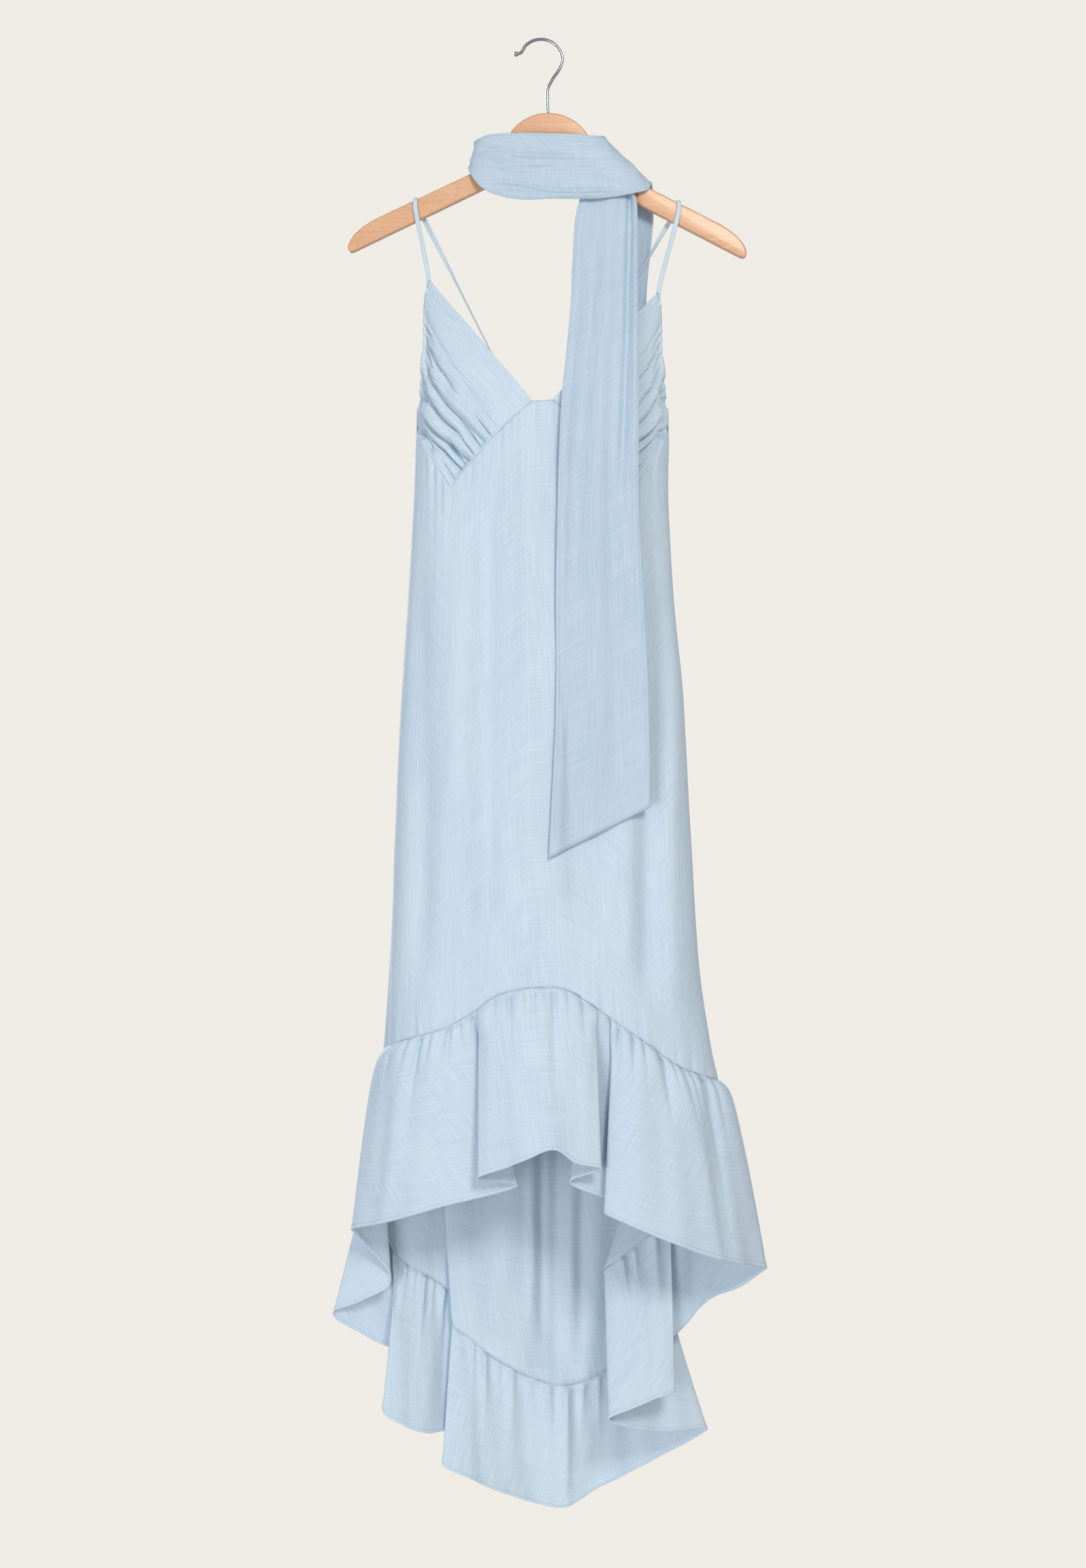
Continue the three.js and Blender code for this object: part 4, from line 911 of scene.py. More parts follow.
def halves(ring):
    """The front's columns, and the back's with both side seams."""
    return ring[:, :front_count], np.concatenate([ring[:, front_count - 1 :], ring[:, :1]], axis=1)


ruffle_grids, ruffle_outs, ruffle_hems = halves(ring), halves(ring_out), halves(ring_hemmed)
ruffles = [
    cloth_wall(name, grid, out, flat_place(grid), hemmed)
    for name, grid, out, hemmed in zip(
        ("front_ruffle", "back_ruffle"), ruffle_grids, ruffle_outs, ruffle_hems
    )
]
cloth_piece(ruffles[0], (0.8, 0.22), 0.12, "gathered", ["front_body"], "ruffle_front")
cloth_piece(ruffles[1], (1.3, 0.2), 0.145, "gathered", ["back_body"], "ruffle_back")


# Back of the body: one panel, cut low across the shoulder blades and far longer than the front,
# falling into the deep folds of the ruffle's seam.

# share of the way from the left side seam to the right, and down
BACK_TOP = table((0, 405), (0.12, 432), (0.3, 495), (0.5, 525), (0.7, 495), (0.88, 432), (1, 405))
FOLDS_START = 900  # depth at which the deep folds of the seam begin to show in the panel
FOLDS_GROW = 1.6
# soft folds, as on the front; below 1000 they are seen from inside, through the open front hem
BACK_FOLDS = [
    (-118, 3.0, 22, 560, 1060),
    (-84, -3.6, 18, 600, 1180),
    (-52, 3.2, 20, 640, 1120),
    (-30, -4.5, 24, 860, 1500),
    (-11, -3.6, 6, 900, 1440),
    (1, 4.4, 6, 880, 1460),
    (17, 4.6, 9, 820, 1510),
    (33, -3.2, 7, 860, 1480),
    (46, 2.2, 6, 900, 1460),
    (62, -4.0, 16, 700, 1470),
    (84, 3.6, 18, 580, 1150),
    (112, -3.4, 16, 620, 1120),
    (140, 2.6, 18, 660, 1060),
]
BACK_ROWS = 104
BACK_PUCKER = 18

back_line = np.concatenate([ring_seam[:1], ring_seam[front_count - 1 :][::-1]])
back_steps = np.linalg.norm(np.diff(back_line[:, :2], axis=0), axis=1)
back_path = np.concatenate([[0], np.cumsum(back_steps)])
back_turns = back_path / back_path[-1]
back_low = -back_line[:, 2]
back_top = smooth_row(back_turns, BACK_TOP[:, 0], BACK_TOP[:, 1])
level = np.linspace(0, 1, BACK_ROWS)[:, None]
back_down = back_top + (back_low - back_top) * level
back_fold = (back_line - skin(back_turns, back_low, "back")) * (1, 1, 0)
strength = np.clip((back_down - FOLDS_START) / (back_low - FOLDS_START), 0, 1) ** FOLDS_GROW
back_grid = skin(back_turns, back_down, "back") + back_fold * strength[..., None]
x = back_grid[..., 0]
back_creases = panel_fold(x, back_down, BACK_FOLDS) + wander(x + 0.1 * back_down, 21, (31, 47), 0.8)
above_seam = back_low - back_down
back_pucker = wander(back_path, 22, (8, 13), 1.2) * np.exp(-above_seam / BACK_PUCKER)
back_pucker = back_pucker * ease(above_seam, 0, 3) * np.sin(math.pi * back_turns)
back_out = outward(back_turns, back_down, "back")
back_grid = back_grid + back_out * ((back_creases + back_pucker) * side_calm(back_turns))[..., None]
back_normals = grid_normals(back_grid)
back_normals *= np.sign(np.sum(back_normals[5] * back_out[5]))
back_panel = cloth_wall("back_body", back_grid, back_normals, flat_place(back_grid))
cloth_piece(back_panel, (1.04, 1.1), 0.37, "hung", ["hanger_body"], "back_panel")


# Cups: two triangles of cloth gathered into the seam under the bust and along the armhole, with
# a plain faced band beside the neck.

# x and down of each armhole edge, from the cup's point to the side seam
CUP_ARMHOLE = {
    "left": table(
        (-122.5, 266),
        (-127.5, 286),
        (-129.5, 316),
        (-131, 346),
        (-134, 376),
        (-137, 405),
        (-138, 435),
    ),
    "right": table(
        (128.2, 280),
        (131.5, 297),
        (133, 316),
        (134.5, 346),
        (137.5, 376),
        (141, 405),
        (142, 435),
    ),
}
CUP_ROWS = 70
CUP_COLUMNS = 210
CUP_FULLNESS = 8
GROOVE_DEPTH = 1.25  # of each depth below
NECK_SIDE, FAR_SIDE = 0.7, 2.4  # width of a groove's steep side and of its soft one
GROOVE_START, GROOVE_END = 0.1, 0.14  # how slowly a groove comes and goes along its way
NECK_BAND = 0.05  # width of the plain faced band, from the neck, 0, to the side, 1
SIDE_KNOTS = np.array([0, 0.42, 0.78, 1])

# grooves between the gathered folds: place on the armhole and on the seam, each from the neck, 0,
# to the side, 1; bend between them; depth; width; and where on the way each starts and ends
CUP_GROOVES = [
    (0.22, 0.36, 0.02, 2.6, 0.045, 0.0, 1.0),
    (0.29, 0.33, 0.02, 4.6, 0.016, 0.0, 0.2),
    (0.36, 0.40, 0.05, 6.4, 0.032, 0.0, 0.6),
    (0.43, 0.47, 0.04, 5.4, 0.018, 0.0, 0.25),
    (0.50, 0.50, 0.07, 8.6, 0.032, 0.08, 1.0),
    (0.62, 0.60, 0.08, 11.0, 0.034, 0.0, 0.86),
    (0.69, 0.66, 0.05, 5.4, 0.018, 0.0, 0.3),
    (0.76, 0.71, 0.09, 12.0, 0.034, 0.0, 1.0),
    (0.88, 0.82, 0.06, 10.0, 0.028, 0.14, 1.0),
    (0.95, 0.90, 0.03, 7.4, 0.020, 0.0, 0.7),
    (0.43, 0.43, 0.0, 5.0, 0.013, 0.84, 1.0),
    (0.56, 0.56, 0.0, 5.6, 0.014, 0.78, 1.0),
    (0.65, 0.65, 0.0, 5.0, 0.012, 0.84, 1.0),
    (0.77, 0.77, 0.0, 5.6, 0.013, 0.80, 1.0),
    (0.93, 0.93, 0.0, 4.6, 0.012, 0.84, 1.0),
]


def cup_grid(side):
    """Points of a cup: s runs from armhole to bust seam, and t from neck to side."""
    armhole = CUP_ARMHOLE[side]
    edge = FRONT_TOP if side == "left" else FRONT_TOP[::-1]
    under, vee = edge[:4], edge[4]
    under_turns = turn_at(under[:, 0], under[:, 1])
    under_turns[0] = 0 if side == "left" else 1
    vee_turn = turn_at(vee[None, 0], vee[None, 1])[0]
    s = np.linspace(0, 1, CUP_ROWS)[:, None]
    t = np.linspace(0, 1, CUP_COLUMNS)[None, :]

    def mix(a, b, share):
        return a + (b - a) * share

    neck_down = mix(armhole[0, 1], vee[1], s)
    neck_turn = turn_at(mix(armhole[0, 0], vee[0], s), neck_down)
    outer_down = mix(armhole[0, 1], armhole[-1, 1], t)
    outer_turn = turn_at(smooth_row(outer_down, armhole[:, 1], armhole[:, 0]), outer_down)

    def between(neck, outer, bust, low):
        """Fills the cup between its four edges."""
        corners = (
            (1 - s) * (1 - t) * outer[0, 0]
            + s * (1 - t) * bust[0, 0]
            + (1 - s) * t * outer[0, -1]
            + s * t * bust[0, -1]
        )
        return (1 - t) * neck + t * low + (1 - s) * outer + s * bust - corners

    bust_turn, bust_down = mix(vee_turn, under_turns[-1], t), mix(vee[1], under[-1, 1], t)
    low_turn, low_down = (np.interp(s, SIDE_KNOTS, row) for row in (under_turns, under[:, 1]))
    turn = np.clip(between(neck_turn, outer_turn, bust_turn, low_turn), 0, 1)
    down = between(neck_down, outer_down, bust_down, low_down)
    out = outward(turn, down, "front")
    # no fullness where it is sewn in, at the bust seam and the side, and little at the armhole
    hem = (1 - ease(s, 0.94, 1)) * (1 - ease(t, 0.96, 1)) * (0.3 + 0.7 * ease(s, 0, 0.07))
    height = CUP_FULLNESS * np.sin(math.pi * (0.06 + 0.9 * s)) * ease(t, 0, 0.4) * hem
    height = height * (1 - 0.7 * ease(t, 0.75, 0.95) * (1 - ease(s, 0, 0.3)))
    sewn_in = np.minimum(hem + 0.25, 1) * ease(s, -0.04, 0.05)
    for start_at, end_at, bend, depth, width, start, end in CUP_GROOVES:
        run = np.ones_like(s)
        if start > 0:
            run = run * ease(s, start - GROOVE_START, start + 0.08)
        if end < 1:
            run = run * (1 - ease(s, end - GROOVE_END, end + 0.03))
        away = t - (start_at + (end_at - start_at) * s + bend * np.sin(math.pi * s))
        side_width = np.where(away > 0, FAR_SIDE * width, NECK_SIDE * width)
        cut = np.exp(-np.sqrt(away**2 + 0.002**2) / side_width)
        height = height - GROOVE_DEPTH * depth * run * cut * sewn_in
    height = height + 0.5 * wander(t * 200 + 20 * s, 31, (6.3, 9.7), 1) * ease(t, 0.2, 0.3) * hem
    height = height * (1 - ease(s, 0.985, 1)) * (1 - ease(t, 0.985, 1))
    points = skin(turn, down, "front") + out * height[..., None]
    points[..., 1] = np.minimum(points[..., 1], -0.2)
    return points, out


neck_band = 1 - ease(np.linspace(0, 1, CUP_COLUMNS)[None, :], NECK_BAND, NECK_BAND + 0.01)
for side in CUP_ARMHOLE:
    grid, out = cup_grid(side)
    normals = grid_normals(grid)
    normals *= np.sign(np.sum(normals[20, 20] * out[20, 20]))
    cup = cloth_wall(side + "_cup", grid, normals, flat_place(grid), neck_band)
    cloth_piece(cup, (0.25, 0.2), 0.022, "gathered", ["front_body"], "cup_" + side)


# Shoulder straps: narrow tubes of the same cloth, turned and pressed flat, sewn to the points of
# the cups and, crossed, to the back's top edge.

STRAP_HALF_WIDTH = 2.5
STRAP_HALF_THICK = 0.9
STRAP_SIDES = 14
STRAP_STEPS = 260
STRAP_OFF_ARM = 8.4  # from the middle of the hanger's arm to the strap in front of it and behind
STRAP_RISE = 5.6  # height of its bend over the arm
STRAP_CORNER = 0.7  # power that squares the bend, 1 is round
TOP_EDGE_NEAR = 495  # depth near the middle of the back's top edge

# x where each strap lies over the arm, x where it is sewn to the back, and how it bows out between
STRAPS = {"left": (-138.3, 36, -2.4), "right": (151.8, -42, 2.4)}
for side, (over, back_x, bow) in STRAPS.items():
    apex_x, apex_down = CUP_ARMHOLE[side][0]
    reach = over - HANGER_CENTRE
    arm_top = ARM_TOP + (abs(reach) - ARM_TOP_AT) * ARM_SLOPE + reach * HANGER_LEAN
    apex_at = np.array([apex_down])
    apex_y = skin(turn_at(np.array([apex_x]), apex_at), apex_at, "front")[0, 1]
    inward = math.copysign(1, reach)
    knots = [
        (apex_x + 2.4 * inward, apex_y - 1.2, apex_down + 16),
        (apex_x + 0.6 * inward, apex_y + 0.8, apex_down + 4),
        (over, -STRAP_OFF_ARM, arm_top + 8),
    ]
    for angle in np.radians([20, 45, 70, 90, 110, 135, 160]):
        y = -STRAP_OFF_ARM * signed_power(np.cos(angle), STRAP_CORNER)
        knots.append((over, y, arm_top + 3.2 - STRAP_RISE * math.sin(angle) ** STRAP_CORNER))
    end_turn = turn_at(np.array([float(back_x)]), np.array([float(TOP_EDGE_NEAR)]))
    end_down = smooth_row(end_turn, BACK_TOP[:, 0], BACK_TOP[:, 1]) - 1
    end = skin(end_turn, end_down, "back")[0] * (1, 1, -1)
    start = np.array(knots[-1])
    for share in (0.12, 0.4, 0.7, 0.9, 1):
        knots.append(start + (end - start) * share + (0, bow * math.sin(math.pi * share), 0))
    knots = heights_up(np.array(knots))
    path, _ = evenly(smooth_curve(knots, np.linspace(0, len(knots) - 1, 600)), STRAP_STEPS)
    slope = math.copysign(ARM_SLOPE, reach) + HANGER_LEAN
    on_arm = np.exp(-((path[:, 1] / 9) ** 2)) * (path[:, 2] > -arm_top - 14)
    edge_on = ease(path[:, 1], 9, 18) * (1 - ease(path[:, 1], end[1] - 12, end[1]))
    across = unit(np.stack([1 - 0.75 * edge_on, edge_on, -slope * on_arm], axis=1))
    width = np.full(STRAP_STEPS, STRAP_HALF_WIDTH)
    thick = width * STRAP_HALF_THICK / STRAP_HALF_WIDTH
    points, faces = tube(path, width, STRAP_SIDES, thick, across)
    along = np.repeat(np.linspace(0, 700, STRAP_STEPS), STRAP_SIDES)
    round_it = np.tile(np.linspace(0, 12, STRAP_SIDES), STRAP_STEPS)
    strap = new_piece(side + "_strap", points, faces, cloth, np.stack([round_it, along], axis=1))
    fit_piece(strap, "cloth", "strap_" + side)


# Scarf: a long strip of the same cloth, cut slanting at its ends and hemmed narrow, wound once
# round the hanger's head. Its front tail lies on the dress and its back tail hangs behind it.

# tails: down, left edge, right edge, and how far forward or back they hang where nothing is under
FRONT_TAIL = table(
    (187, 38, 106, -14),
    (255, 34, 106, -30),
    (300, 32, 106, -41),
    (356, 27, 106, -54),
    (404, 22, 106, -62),
    (508, 18, 106, -62),
    (612, 16, 111, -62),
    (733, 16, 117, -62),
    (905, 8, 118, -62),
)
BACK_TAIL = table(
    (195, 56, 125, 17),
    (285, 56, 117, 30),
    (400, 52, 119, 47),
    (620, 45, 126, 50),
    (800, 40, 131, 50),
    (860, 38, 133, 50),
)
# the turns round the head: higher edge (x, y, down) and lower edge (x, y, down)
WOUND = table(
    (44, -12.5, 170, 105, -12.5, 178),
    (60, -11, 150, 101, -11, 166),
    (66, -9, 137, 99, -8.8, 153),
    (67, 0, 132, 98, 0, 151),
    (66, 9, 135.5, 98, 9, 153),
    (58, 10.5, 128, 84, 11, 168),
    (36, 10.5, 117, 46, 11.5, 172),
    (8, 11, 112, 12, 12, 170),
    (-28, 10.5, 110, -34, 12, 166),
    (-54, 10, 108, -64, 11, 156),
    (-68, 6.5, 107, -75, 7.5, 143),
    (-73, 0, 112, -79, 0, 139),
    (-70, -9, 111, -78, -9.5, 147),
    (-58, -16, 107, -65, -17, 165),
    (-24, -18, 105.5, -36, -20, 177),
    (12, -18, 106, 16, -21, 178),
    (42, -17, 107, 70, -20, 177),
    (60, -14, 108, 104, -18, 171),
    (67, -8, 107, 118, -12, 166),
    (70, 0, 107, 121.5, 0, 157),
    (69, 8.5, 113, 123, 10.5, 160),
    (64, 14, 135, 125, 15, 172),
)
SCARF_COLUMNS = 56
TAIL_ROWS = 110
WOUND_ROWS_A_STEP = 12
FRONT_TAIL_END = (900, 845)  # depth of its slanting end at the left and right edges
BACK_TAIL_END = (795, 850)
CUP_CLEARANCE, PANEL_CLEARANCE = 8.5, 4
CUPS_END = (440, 560)  # depths between which the tail comes down from the cups to the panel
FRONT_LANDING = (215, 300)  # depths between which each tail comes to lie on the dress
BACK_LANDING = (240, 330)


def tail(rows, ends, side):
    """Both edges of a hanging tail, then the cloth between them, resting on the dress."""
    share = np.linspace(0, 1, TAIL_ROWS)
    edges = []
    for name, end in zip((1, 2), ends):
        down = rows[0, 0] + (end - rows[0, 0]) * share
        x = smooth_row(down, rows[:, 0], rows[:, name])
        y = smooth_row(down, rows[:, 0], rows[:, 3])
        edges.append(np.stack([x, y, -down], axis=1))
    across = np.linspace(0, 1, SCARF_COLUMNS)[None, :, None]
    grid = edges[0][:, None] * (1 - across) + edges[1][:, None] * across
    x, y, down = grid[..., 0], grid[..., 1], -grid[..., 2]
    body = skin(turn_at(x, down), down, side)[..., 1]
    if side == "front":
        clear = CUP_CLEARANCE + (PANEL_CLEARANCE - CUP_CLEARANCE) * ease(down, *CUPS_END)
        rest = body - np.maximum(panel_fold(x, down), -3) - clear
        grid[..., 1] += (np.minimum(y, rest) - y) * ease(down, *FRONT_LANDING)
    else:
        grid[..., 1] += (np.maximum(y, body + PANEL_CLEARANCE) - y) * ease(down, *BACK_LANDING)
    return grid


def out_of_scarf(grid):
    """Directions out of the cloth, to the front on the front tail."""
    out = grid_normals(grid)
    return out if out[20, 20, 1] <= 0 else -out


front_tail = tail(FRONT_TAIL, FRONT_TAIL_END, "front")
back_tail = tail(BACK_TAIL, BACK_TAIL_END, "back")
samples = np.linspace(0, len(WOUND) - 1, (len(WOUND) - 1) * WOUND_ROWS_A_STEP)
edge_a = smooth_curve(heights_up(WOUND[:, 0:3]), samples)
edge_b = smooth_curve(heights_up(WOUND[:, 3:6]), samples)
across = np.linspace(0, 1, SCARF_COLUMNS)[None, :, None]
wound = edge_a[:, None] * (1 - across) + edge_b[:, None] * across
scarf_grid = np.concatenate([front_tail[::-1][:-1], wound, back_tail[1:]])
wound_first, wound_last = TAIL_ROWS - 1, TAIL_ROWS - 1 + len(wound)
row = np.arange(len(scarf_grid))
near_join = hump(row - wound_first, 8) + hump(row - wound_last, 8)
for _ in range(2):
    blur = scarf_grid.copy()
    blur[1:-1] = (scarf_grid[:-2] + 2 * scarf_grid[1:-1] + scarf_grid[2:]) / 4
    scarf_grid += (blur - scarf_grid) * np.clip(near_join, 0, 1)[:, None, None]
scarf_out = out_of_scarf(scarf_grid)
row_length = np.linalg.norm(np.diff(scarf_grid[:, SCARF_COLUMNS // 2], axis=0), axis=1)
along = np.concatenate([[0], np.cumsum(row_length)])[:, None]
share = np.linspace(0, 1, SCARF_COLUMNS)[None, :]
wound_start, wound_end = along[wound_first, 0], along[wound_last, 0]
in_wrap = ease(along, wound_start - 40, wound_start + 30)
in_wrap = in_wrap * (1 - ease(along, wound_end - 20, wound_end + 60))

# lengthwise folds of the front tail: place across it at the top and at the bottom, height, width,
# and from and to which distance from its lower end they run
TAIL_FOLDS = [
    (0.10, 0.08, 1.6, 0.05, 0, 720),
    (0.34, 0.12, -4.0, 0.11, 280, 640),
    (0.56, 0.42, 3.6, 0.13, 40, 720),
    (0.64, 0.66, -2.6, 0.09, 60, 520),
    (0.88, 0.70, -6.5, 0.055, 380, 760),
    (0.955, 0.93, 2.2, 0.03, 200, 760),
]
# lengthwise folds of the back tail: place across it, height and width
BACK_TAIL_FOLDS = [(0.2, 1.8, 0.06), (0.42, -2.4, 0.07), (0.7, 2.4, 0.08), (0.9, -1.6, 0.04)]
scarf_relief = 0.0
for top, bottom, height, width, start, end in TAIL_FOLDS:
    at = bottom + (top - bottom) * np.clip(along / 700, 0, 1)
    run = ease(along, start - 60, start + 60) * (1 - ease(along, end - 40, end + 20))
    scarf_relief = scarf_relief + height * run * hump(share - at, width)
for at, height, width in BACK_TAIL_FOLDS:
    run = ease(along, wound_end + 20, wound_end + 120)
    drift = 0.03 * np.sin(along / 110 + 9 * at)
    scarf_relief = scarf_relief + height * run * hump(share - at - drift, width)

# cross creases of the wrap in front of the head: x and down along each, height, width
WRAP_CREASES = [
    ([-70, -48, -26, 0, 42], [124, 122, 129, 130, 131], -2.4, 2.6),
    ([-68, -44, -12, 20, 60], [132, 131, 138, 138, 137], 1.8, 4.0),
    ([-55, -34, -10, 22], [137, 146, 146, 140], -2.0, 3.0),
    ([-50, -22, 4, 34, 86], [158, 161, 168, 169, 167], -2.6, 2.4),
    ([-60, -20, 10, 40, 92], [163, 167, 173, 175, 173], 2.4, 3.2),
    ([30, 62, 96], [150, 146, 160], -1.6, 4.0),
    ([-62, -58, -50], [112, 130, 150], -1.4, 3.5),
]
x, down = scarf_grid[..., 0], -scarf_grid[..., 2]
in_front = ease(-scarf_grid[..., 1], 9, 15) * (along > wound_start) * (along < wound_end)
for crease_x, crease_down, height, width in WRAP_CREASES:
    left, right = crease_x[0], crease_x[-1]
    run = ease(x, left - 4, left + 14) * (1 - ease(x, right - 14, right + 4))
    line = np.interp(x, crease_x, crease_down)
    scarf_relief = scarf_relief + height * run * in_front * hump(down - line, width)
fine = wander(along + 60 * share, 41, (34, 53, 21), 0.7) * (0.3 + 0.7 * in_wrap)
scarf_relief = (scarf_relief + fine) * ease(share, 0, 0.05) * ease(1 - share, 0, 0.04)
scarf_grid = scarf_grid + scarf_out * scarf_relief[..., None]
scarf_out = out_of_scarf(scarf_grid)
SIDE_HEM = 5 / 110  # of the scarf's width
END_HEM = 7
side_hem = (SIDE_HEM, SIDE_HEM * 1.3)
scarf_hem = 1 - ease(share, *side_hem) * ease(1 - share, *side_hem)
end_hem = 1 - ease(along, END_HEM, END_HEM + 2) * ease(along[-1] - along, END_HEM, END_HEM + 2)
# the scarf looks a tone deeper than the dress: painted shade, the same cloth as the dress with its
# tones darkened a step to stand in for the lesser light on it
SCARF_PAINTED_SHADE_TONES = [(0.36, "#AABFD1"), (0.5, "#B6C9D8"), (0.64, "#C1D1DD")]
painted_shade_scarf_cloth = woven_cloth("slubbed_cloth_painted_shade", SCARF_PAINTED_SHADE_TONES)
scarf_doubled = np.maximum(scarf_hem, end_hem)
scarf = cloth_wall(
    "scarf", scarf_grid, scarf_out, flat_place(scarf_grid), scarf_doubled, painted_shade_scarf_cloth
)
scarf_nodes = ["scarf_front_tail", "scarf_behind_neck", "scarf_neck_wrap", "scarf_back_tail"]
cloth_piece(scarf, (1.9, 0.12), 0.145, "draped", ["beech_hanger"], *scarf_nodes)


# Sewing: the hems of the ruffle and of the scarf are turned up and stitched down on the machine,
# 3 mm a stitch, in thread of the cloth's own blue.

STITCH_SIZES = {"Pitch": 3, "Stitch Length": 2.5, "Thread": 0.35}  # millimetres

# Spun sewing thread: matt, a little deeper than the cloth, its twist as specks of 0.7 mm
thread_material, tree = new_material("spun_polyester_thread")
place = add_node(tree, "ShaderNodeTexCoord").outputs["Object"]
twist = uneven(tree, place, (1500, 1500, 1500), 1.0, 0.5)
twist_bump = add_node(
    tree, "ShaderNodeBump", {"Height": twist, "Strength": 0.3, "Distance": 0.0001}
)
THREAD_TONES = [(0.35, "#9FB4C7"), (0.65, "#B4C7D7")]
thread_colour = add_node(tree, "ShaderNodeValToRGB", {"Fac": twist}, THREAD_TONES)
finish_material(
    tree,
    {
        "Base Color": thread_colour.outputs["Color"],
        "Roughness": 0.6,
        "Sheen Weight": 0.2,
        "Normal": twist_bump.outputs["Normal"],
    },
)


def stitch_tree():
    """Node tree that turns edges into a row of stitches, one flat-sided bar every pitch."""
    tree = bpy.data.node_groups.new("machine_stitches", "GeometryNodeTree")
    tree.interface.new_socket("Seam", in_out="INPUT", socket_type="NodeSocketGeometry")
    for name in STITCH_SIZES:
        tree.interface.new_socket(name, in_out="INPUT", socket_type="NodeSocketFloat")
    tree.interface.new_socket("Stitches", in_out="OUTPUT", socket_type="NodeSocketGeometry")
    sizes = tree.nodes.new("NodeGroupInput").outputs
    curve = add_node(tree, "GeometryNodeMeshToCurve", {"Mesh": sizes["Seam"]})
    spaced = add_node(
        tree,
        "GeometryNodeResampleCurve",
        {"Curve": curve.outputs["Curve"], "Length": sizes["Pitch"]},
        mode="LENGTH",
    )
    bar_size = add_node(
        tree,
        "ShaderNodeCombineXYZ",
        {"X": sizes["Stitch Length"], "Y": sizes["Thread"], "Z": sizes["Thread"]},
    )
    bar = add_node(tree, "GeometryNodeMeshCube", {"Size": bar_size.outputs["Vector"]})
    tangent = add_node(tree, "GeometryNodeInputTangent")
    turn = add_node(
        tree, "FunctionNodeAlignRotationToVector", {"Vector": tangent.outputs["Tangent"]}, axis="X"
    )
    row = add_node(
        tree,
        "GeometryNodeInstanceOnPoints",
        {
            "Points": spaced.outputs["Curve"],
            "Instance": bar.outputs["Mesh"],
            "Rotation": turn.outputs["Rotation"],
        },
    )
    real = add_node(tree, "GeometryNodeRealizeInstances", {"Geometry": row.outputs["Instances"]})
    thread = add_node(
        tree,
        "GeometryNodeSetMaterial",
        {"Geometry": real.outputs["Geometry"], "Material": thread_material},
    )
    result = tree.nodes.new("NodeGroupOutput")
    tree.links.new(thread.outputs["Geometry"], result.inputs["Stitches"])
    return tree


stitch_maker = stitch_tree()


def sew(name, lines):
    """Stitches along lines of points in millimetres, as one plain mesh."""
    points = np.concatenate(lines) * 0.001
    starts = np.cumsum([0] + [len(line) for line in lines])
    edges = [(i, i + 1) for k in range(len(lines)) for i in range(starts[k], starts[k + 1] - 1)]
    seam_mesh = bpy.data.meshes.new(name + "_line")
    seam_mesh.from_pydata(points.tolist(), edges, [])
    seam = link_object(name, seam_mesh)
    modifier = seam.modifiers.new("stitches", "NODES")
    modifier.node_group = stitch_maker
    for item in stitch_maker.interface.items_tree:
        if item.in_out == "INPUT" and item.name in STITCH_SIZES:
            modifier[item.identifier] = STITCH_SIZES[item.name] * 0.001
    evaluated = seam.evaluated_get(bpy.context.evaluated_depsgraph_get())
    stitched = bpy.data.meshes.new_from_object(evaluated)
    seam.modifiers.remove(modifier)
    seam.data = stitched
    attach(seam, "root")


def both_faces(grid, out, rows, columns):
    """Lines of thread on both faces of the hem, along the given rows or columns of its grid."""
    line, normal = grid[rows, columns], out[rows, columns]
    height = (CLOTH_THICK + HEM_EXTRA) / 2
    return [line + normal * height, line - normal * height]


def row_above_hem(hems, length):
    """The row that lies inside the folded hem, near its upper edge."""
    middle = length.size // 2
    return int(np.argmin(np.abs(hems[:, middle] - (length[middle] - HEM_WIDTH + 3))))


stitch_row = row_above_hem(below_seam, fall_length)
for name, grid, out in zip(("front", "back"), ruffle_grids, ruffle_outs):
    sew(name + "_hem_stitches", both_faces(grid, out, stitch_row, slice(1, -1)))
scarf_lines = []
for column in (2, SCARF_COLUMNS - 3):
    scarf_lines += both_faces(scarf_grid, scarf_out, slice(4, -4), column)
sew("scarf_hem_stitches", scarf_lines)


# Studio: a small pale floor below the hem, a pale surround, a large soft light from the front
# right and above, one from the left and below, one behind, and the camera level with the dress.

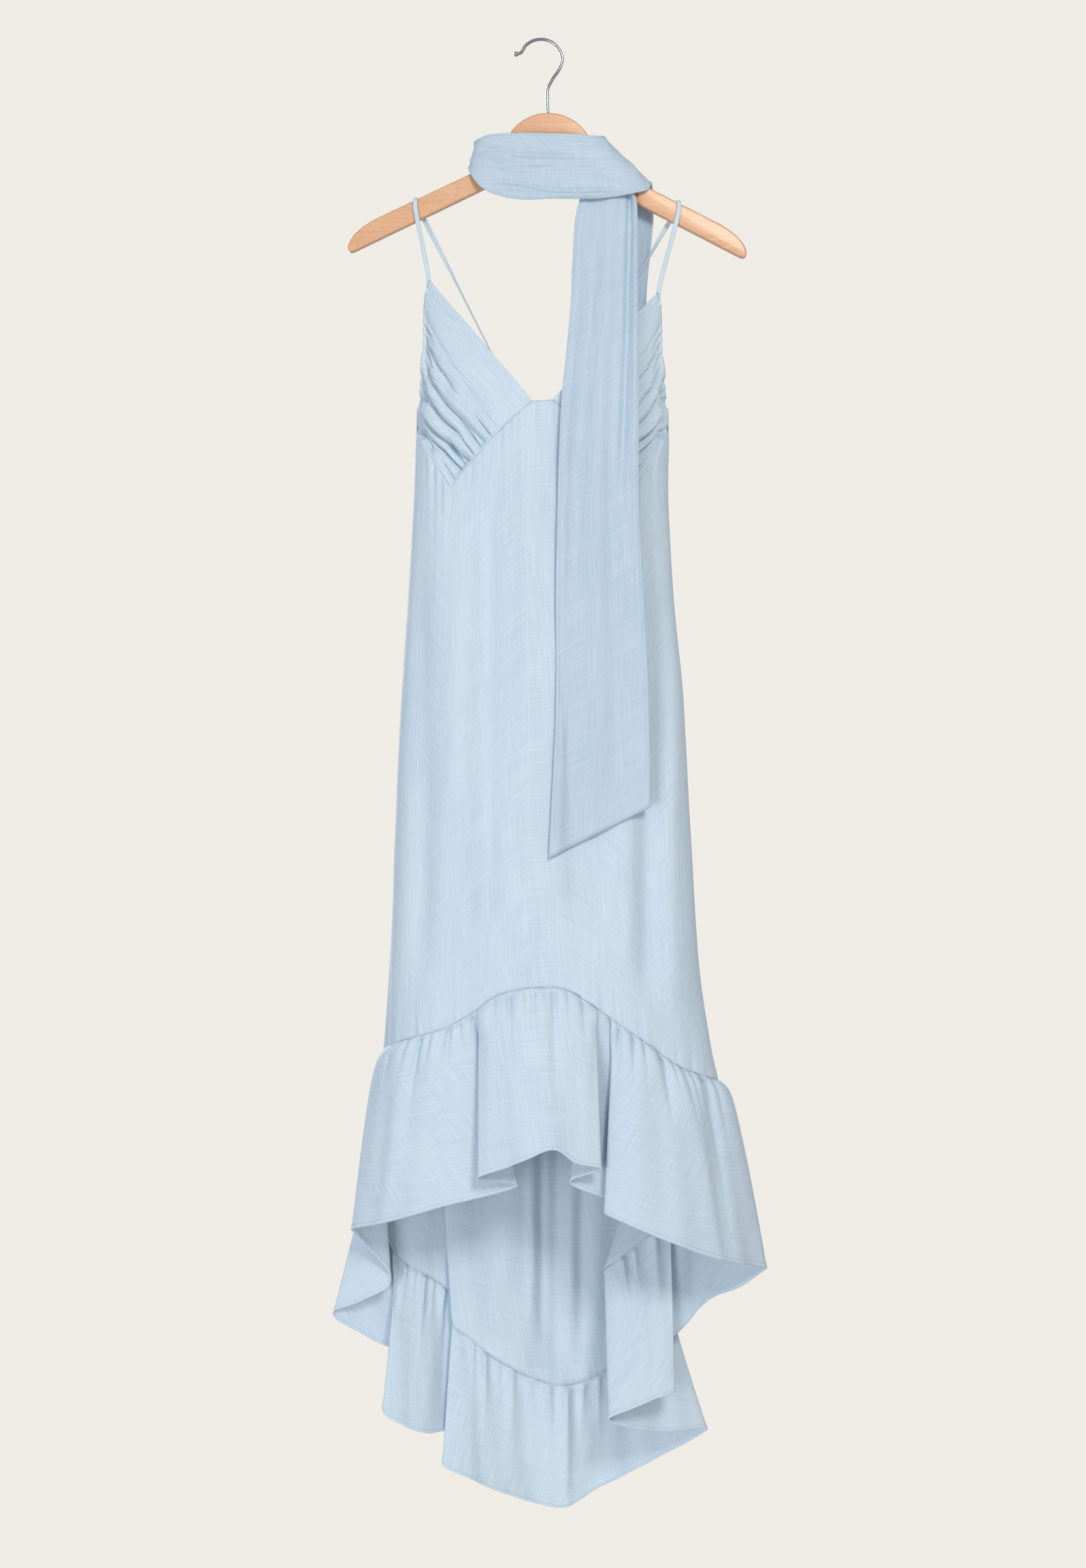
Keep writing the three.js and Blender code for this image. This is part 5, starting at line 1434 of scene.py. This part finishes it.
floor_material, tree = new_material("pale_studio_floor")
place = add_node(tree, "ShaderNodeTexCoord").outputs["Object"]
FLOOR_TONES = [(0.3, "#ECE9E3"), (0.7, "#F1EEE8")]
floor_mottle = uneven(tree, place, (3, 3, 3), 3.0, 0.5)
floor_colour = add_node(tree, "ShaderNodeValToRGB", {"Fac": floor_mottle}, FLOOR_TONES)
finish_material(tree, {"Base Color": floor_colour.outputs["Color"], "Roughness": 0.9})
FLOOR_RADIUS = 600
FLOOR_DOWN = 1850
FLOOR_THICK = 8
FLOOR_SIDES = 96
turns = np.linspace(0, 2 * math.pi, FLOOR_SIDES, endpoint=False)
disc = np.stack([FLOOR_RADIUS * np.cos(turns), FLOOR_RADIUS * np.sin(turns)], axis=1)
floor_top = np.column_stack([disc, np.full(FLOOR_SIDES, -FLOOR_DOWN)])
floor_rings = np.stack([floor_top - (0, 0, FLOOR_THICK), floor_top])
floor = new_piece("floor", *closed_rings(floor_rings), floor_material)

world = bpy.data.worlds.new("pale_surround")
world.use_nodes = True
tree = world.node_tree
tree.nodes.clear()
seen, bounced = (
    add_node(tree, "ShaderNodeBackground", {"Color": linear_colour(colour), "Strength": strength})
    for colour, strength in (("#EFECE6", 1.0), ("#F1F3F6", 0.5))
)
surround = add_node(
    tree,
    "ShaderNodeMixShader",
    {
        0: add_node(tree, "ShaderNodeLightPath").outputs["Is Camera Ray"],
        1: bounced.outputs["Background"],
        2: seen.outputs["Background"],
    },
)
add_node(tree, "ShaderNodeOutputWorld", {"Surface": surround.outputs["Shader"]})
bpy.context.scene.world = world
bpy.context.scene.view_settings.view_transform = "Standard"


def soft_light(name, place, aim, size, power, colour):
    """A square softbox, turned to face the point that it aims at."""
    data = bpy.data.lights.new(name, "AREA")
    data.shape = "SQUARE"
    data.size = size
    data.energy = power
    data.color = linear_colour(colour)[:3]
    light = link_object(name, data)
    light.location = place
    x, y, z = np.array(aim) - np.array(place)
    light.rotation_euler = (math.atan2(math.hypot(x, y), -z), 0, math.atan2(-x, y))


soft_light("key_softbox", (1.0, -3.1, 0.9), (0, 0, -1.0), 0.8, 60, "#FFFAF3")
soft_light("fill_softbox", (-1.7, -3.1, -1.8), (0, 0, -1.2), 1.4, 48, "#F6F8FF")
soft_light("back_softbox", (-1.2, 2.8, 0.4), (0, 0, -0.9), 1.6, 105, "#FFFFFF")

# metres
CAMERA_DISTANCE = 3.4
CAMERA_SIDE = 0.00225
CAMERA_DOWN = 0.8194
camera_data = bpy.data.cameras.new("photo_camera")
camera_data.sensor_fit = "VERTICAL"
camera_data.sensor_height = 36
camera_data.lens = 70.8
camera = link_object("photo_camera", camera_data)
camera.location = (CAMERA_SIDE, -CAMERA_DISTANCE, -CAMERA_DOWN)
camera.rotation_euler = (math.pi / 2, 0, 0)
bpy.context.scene.camera = camera
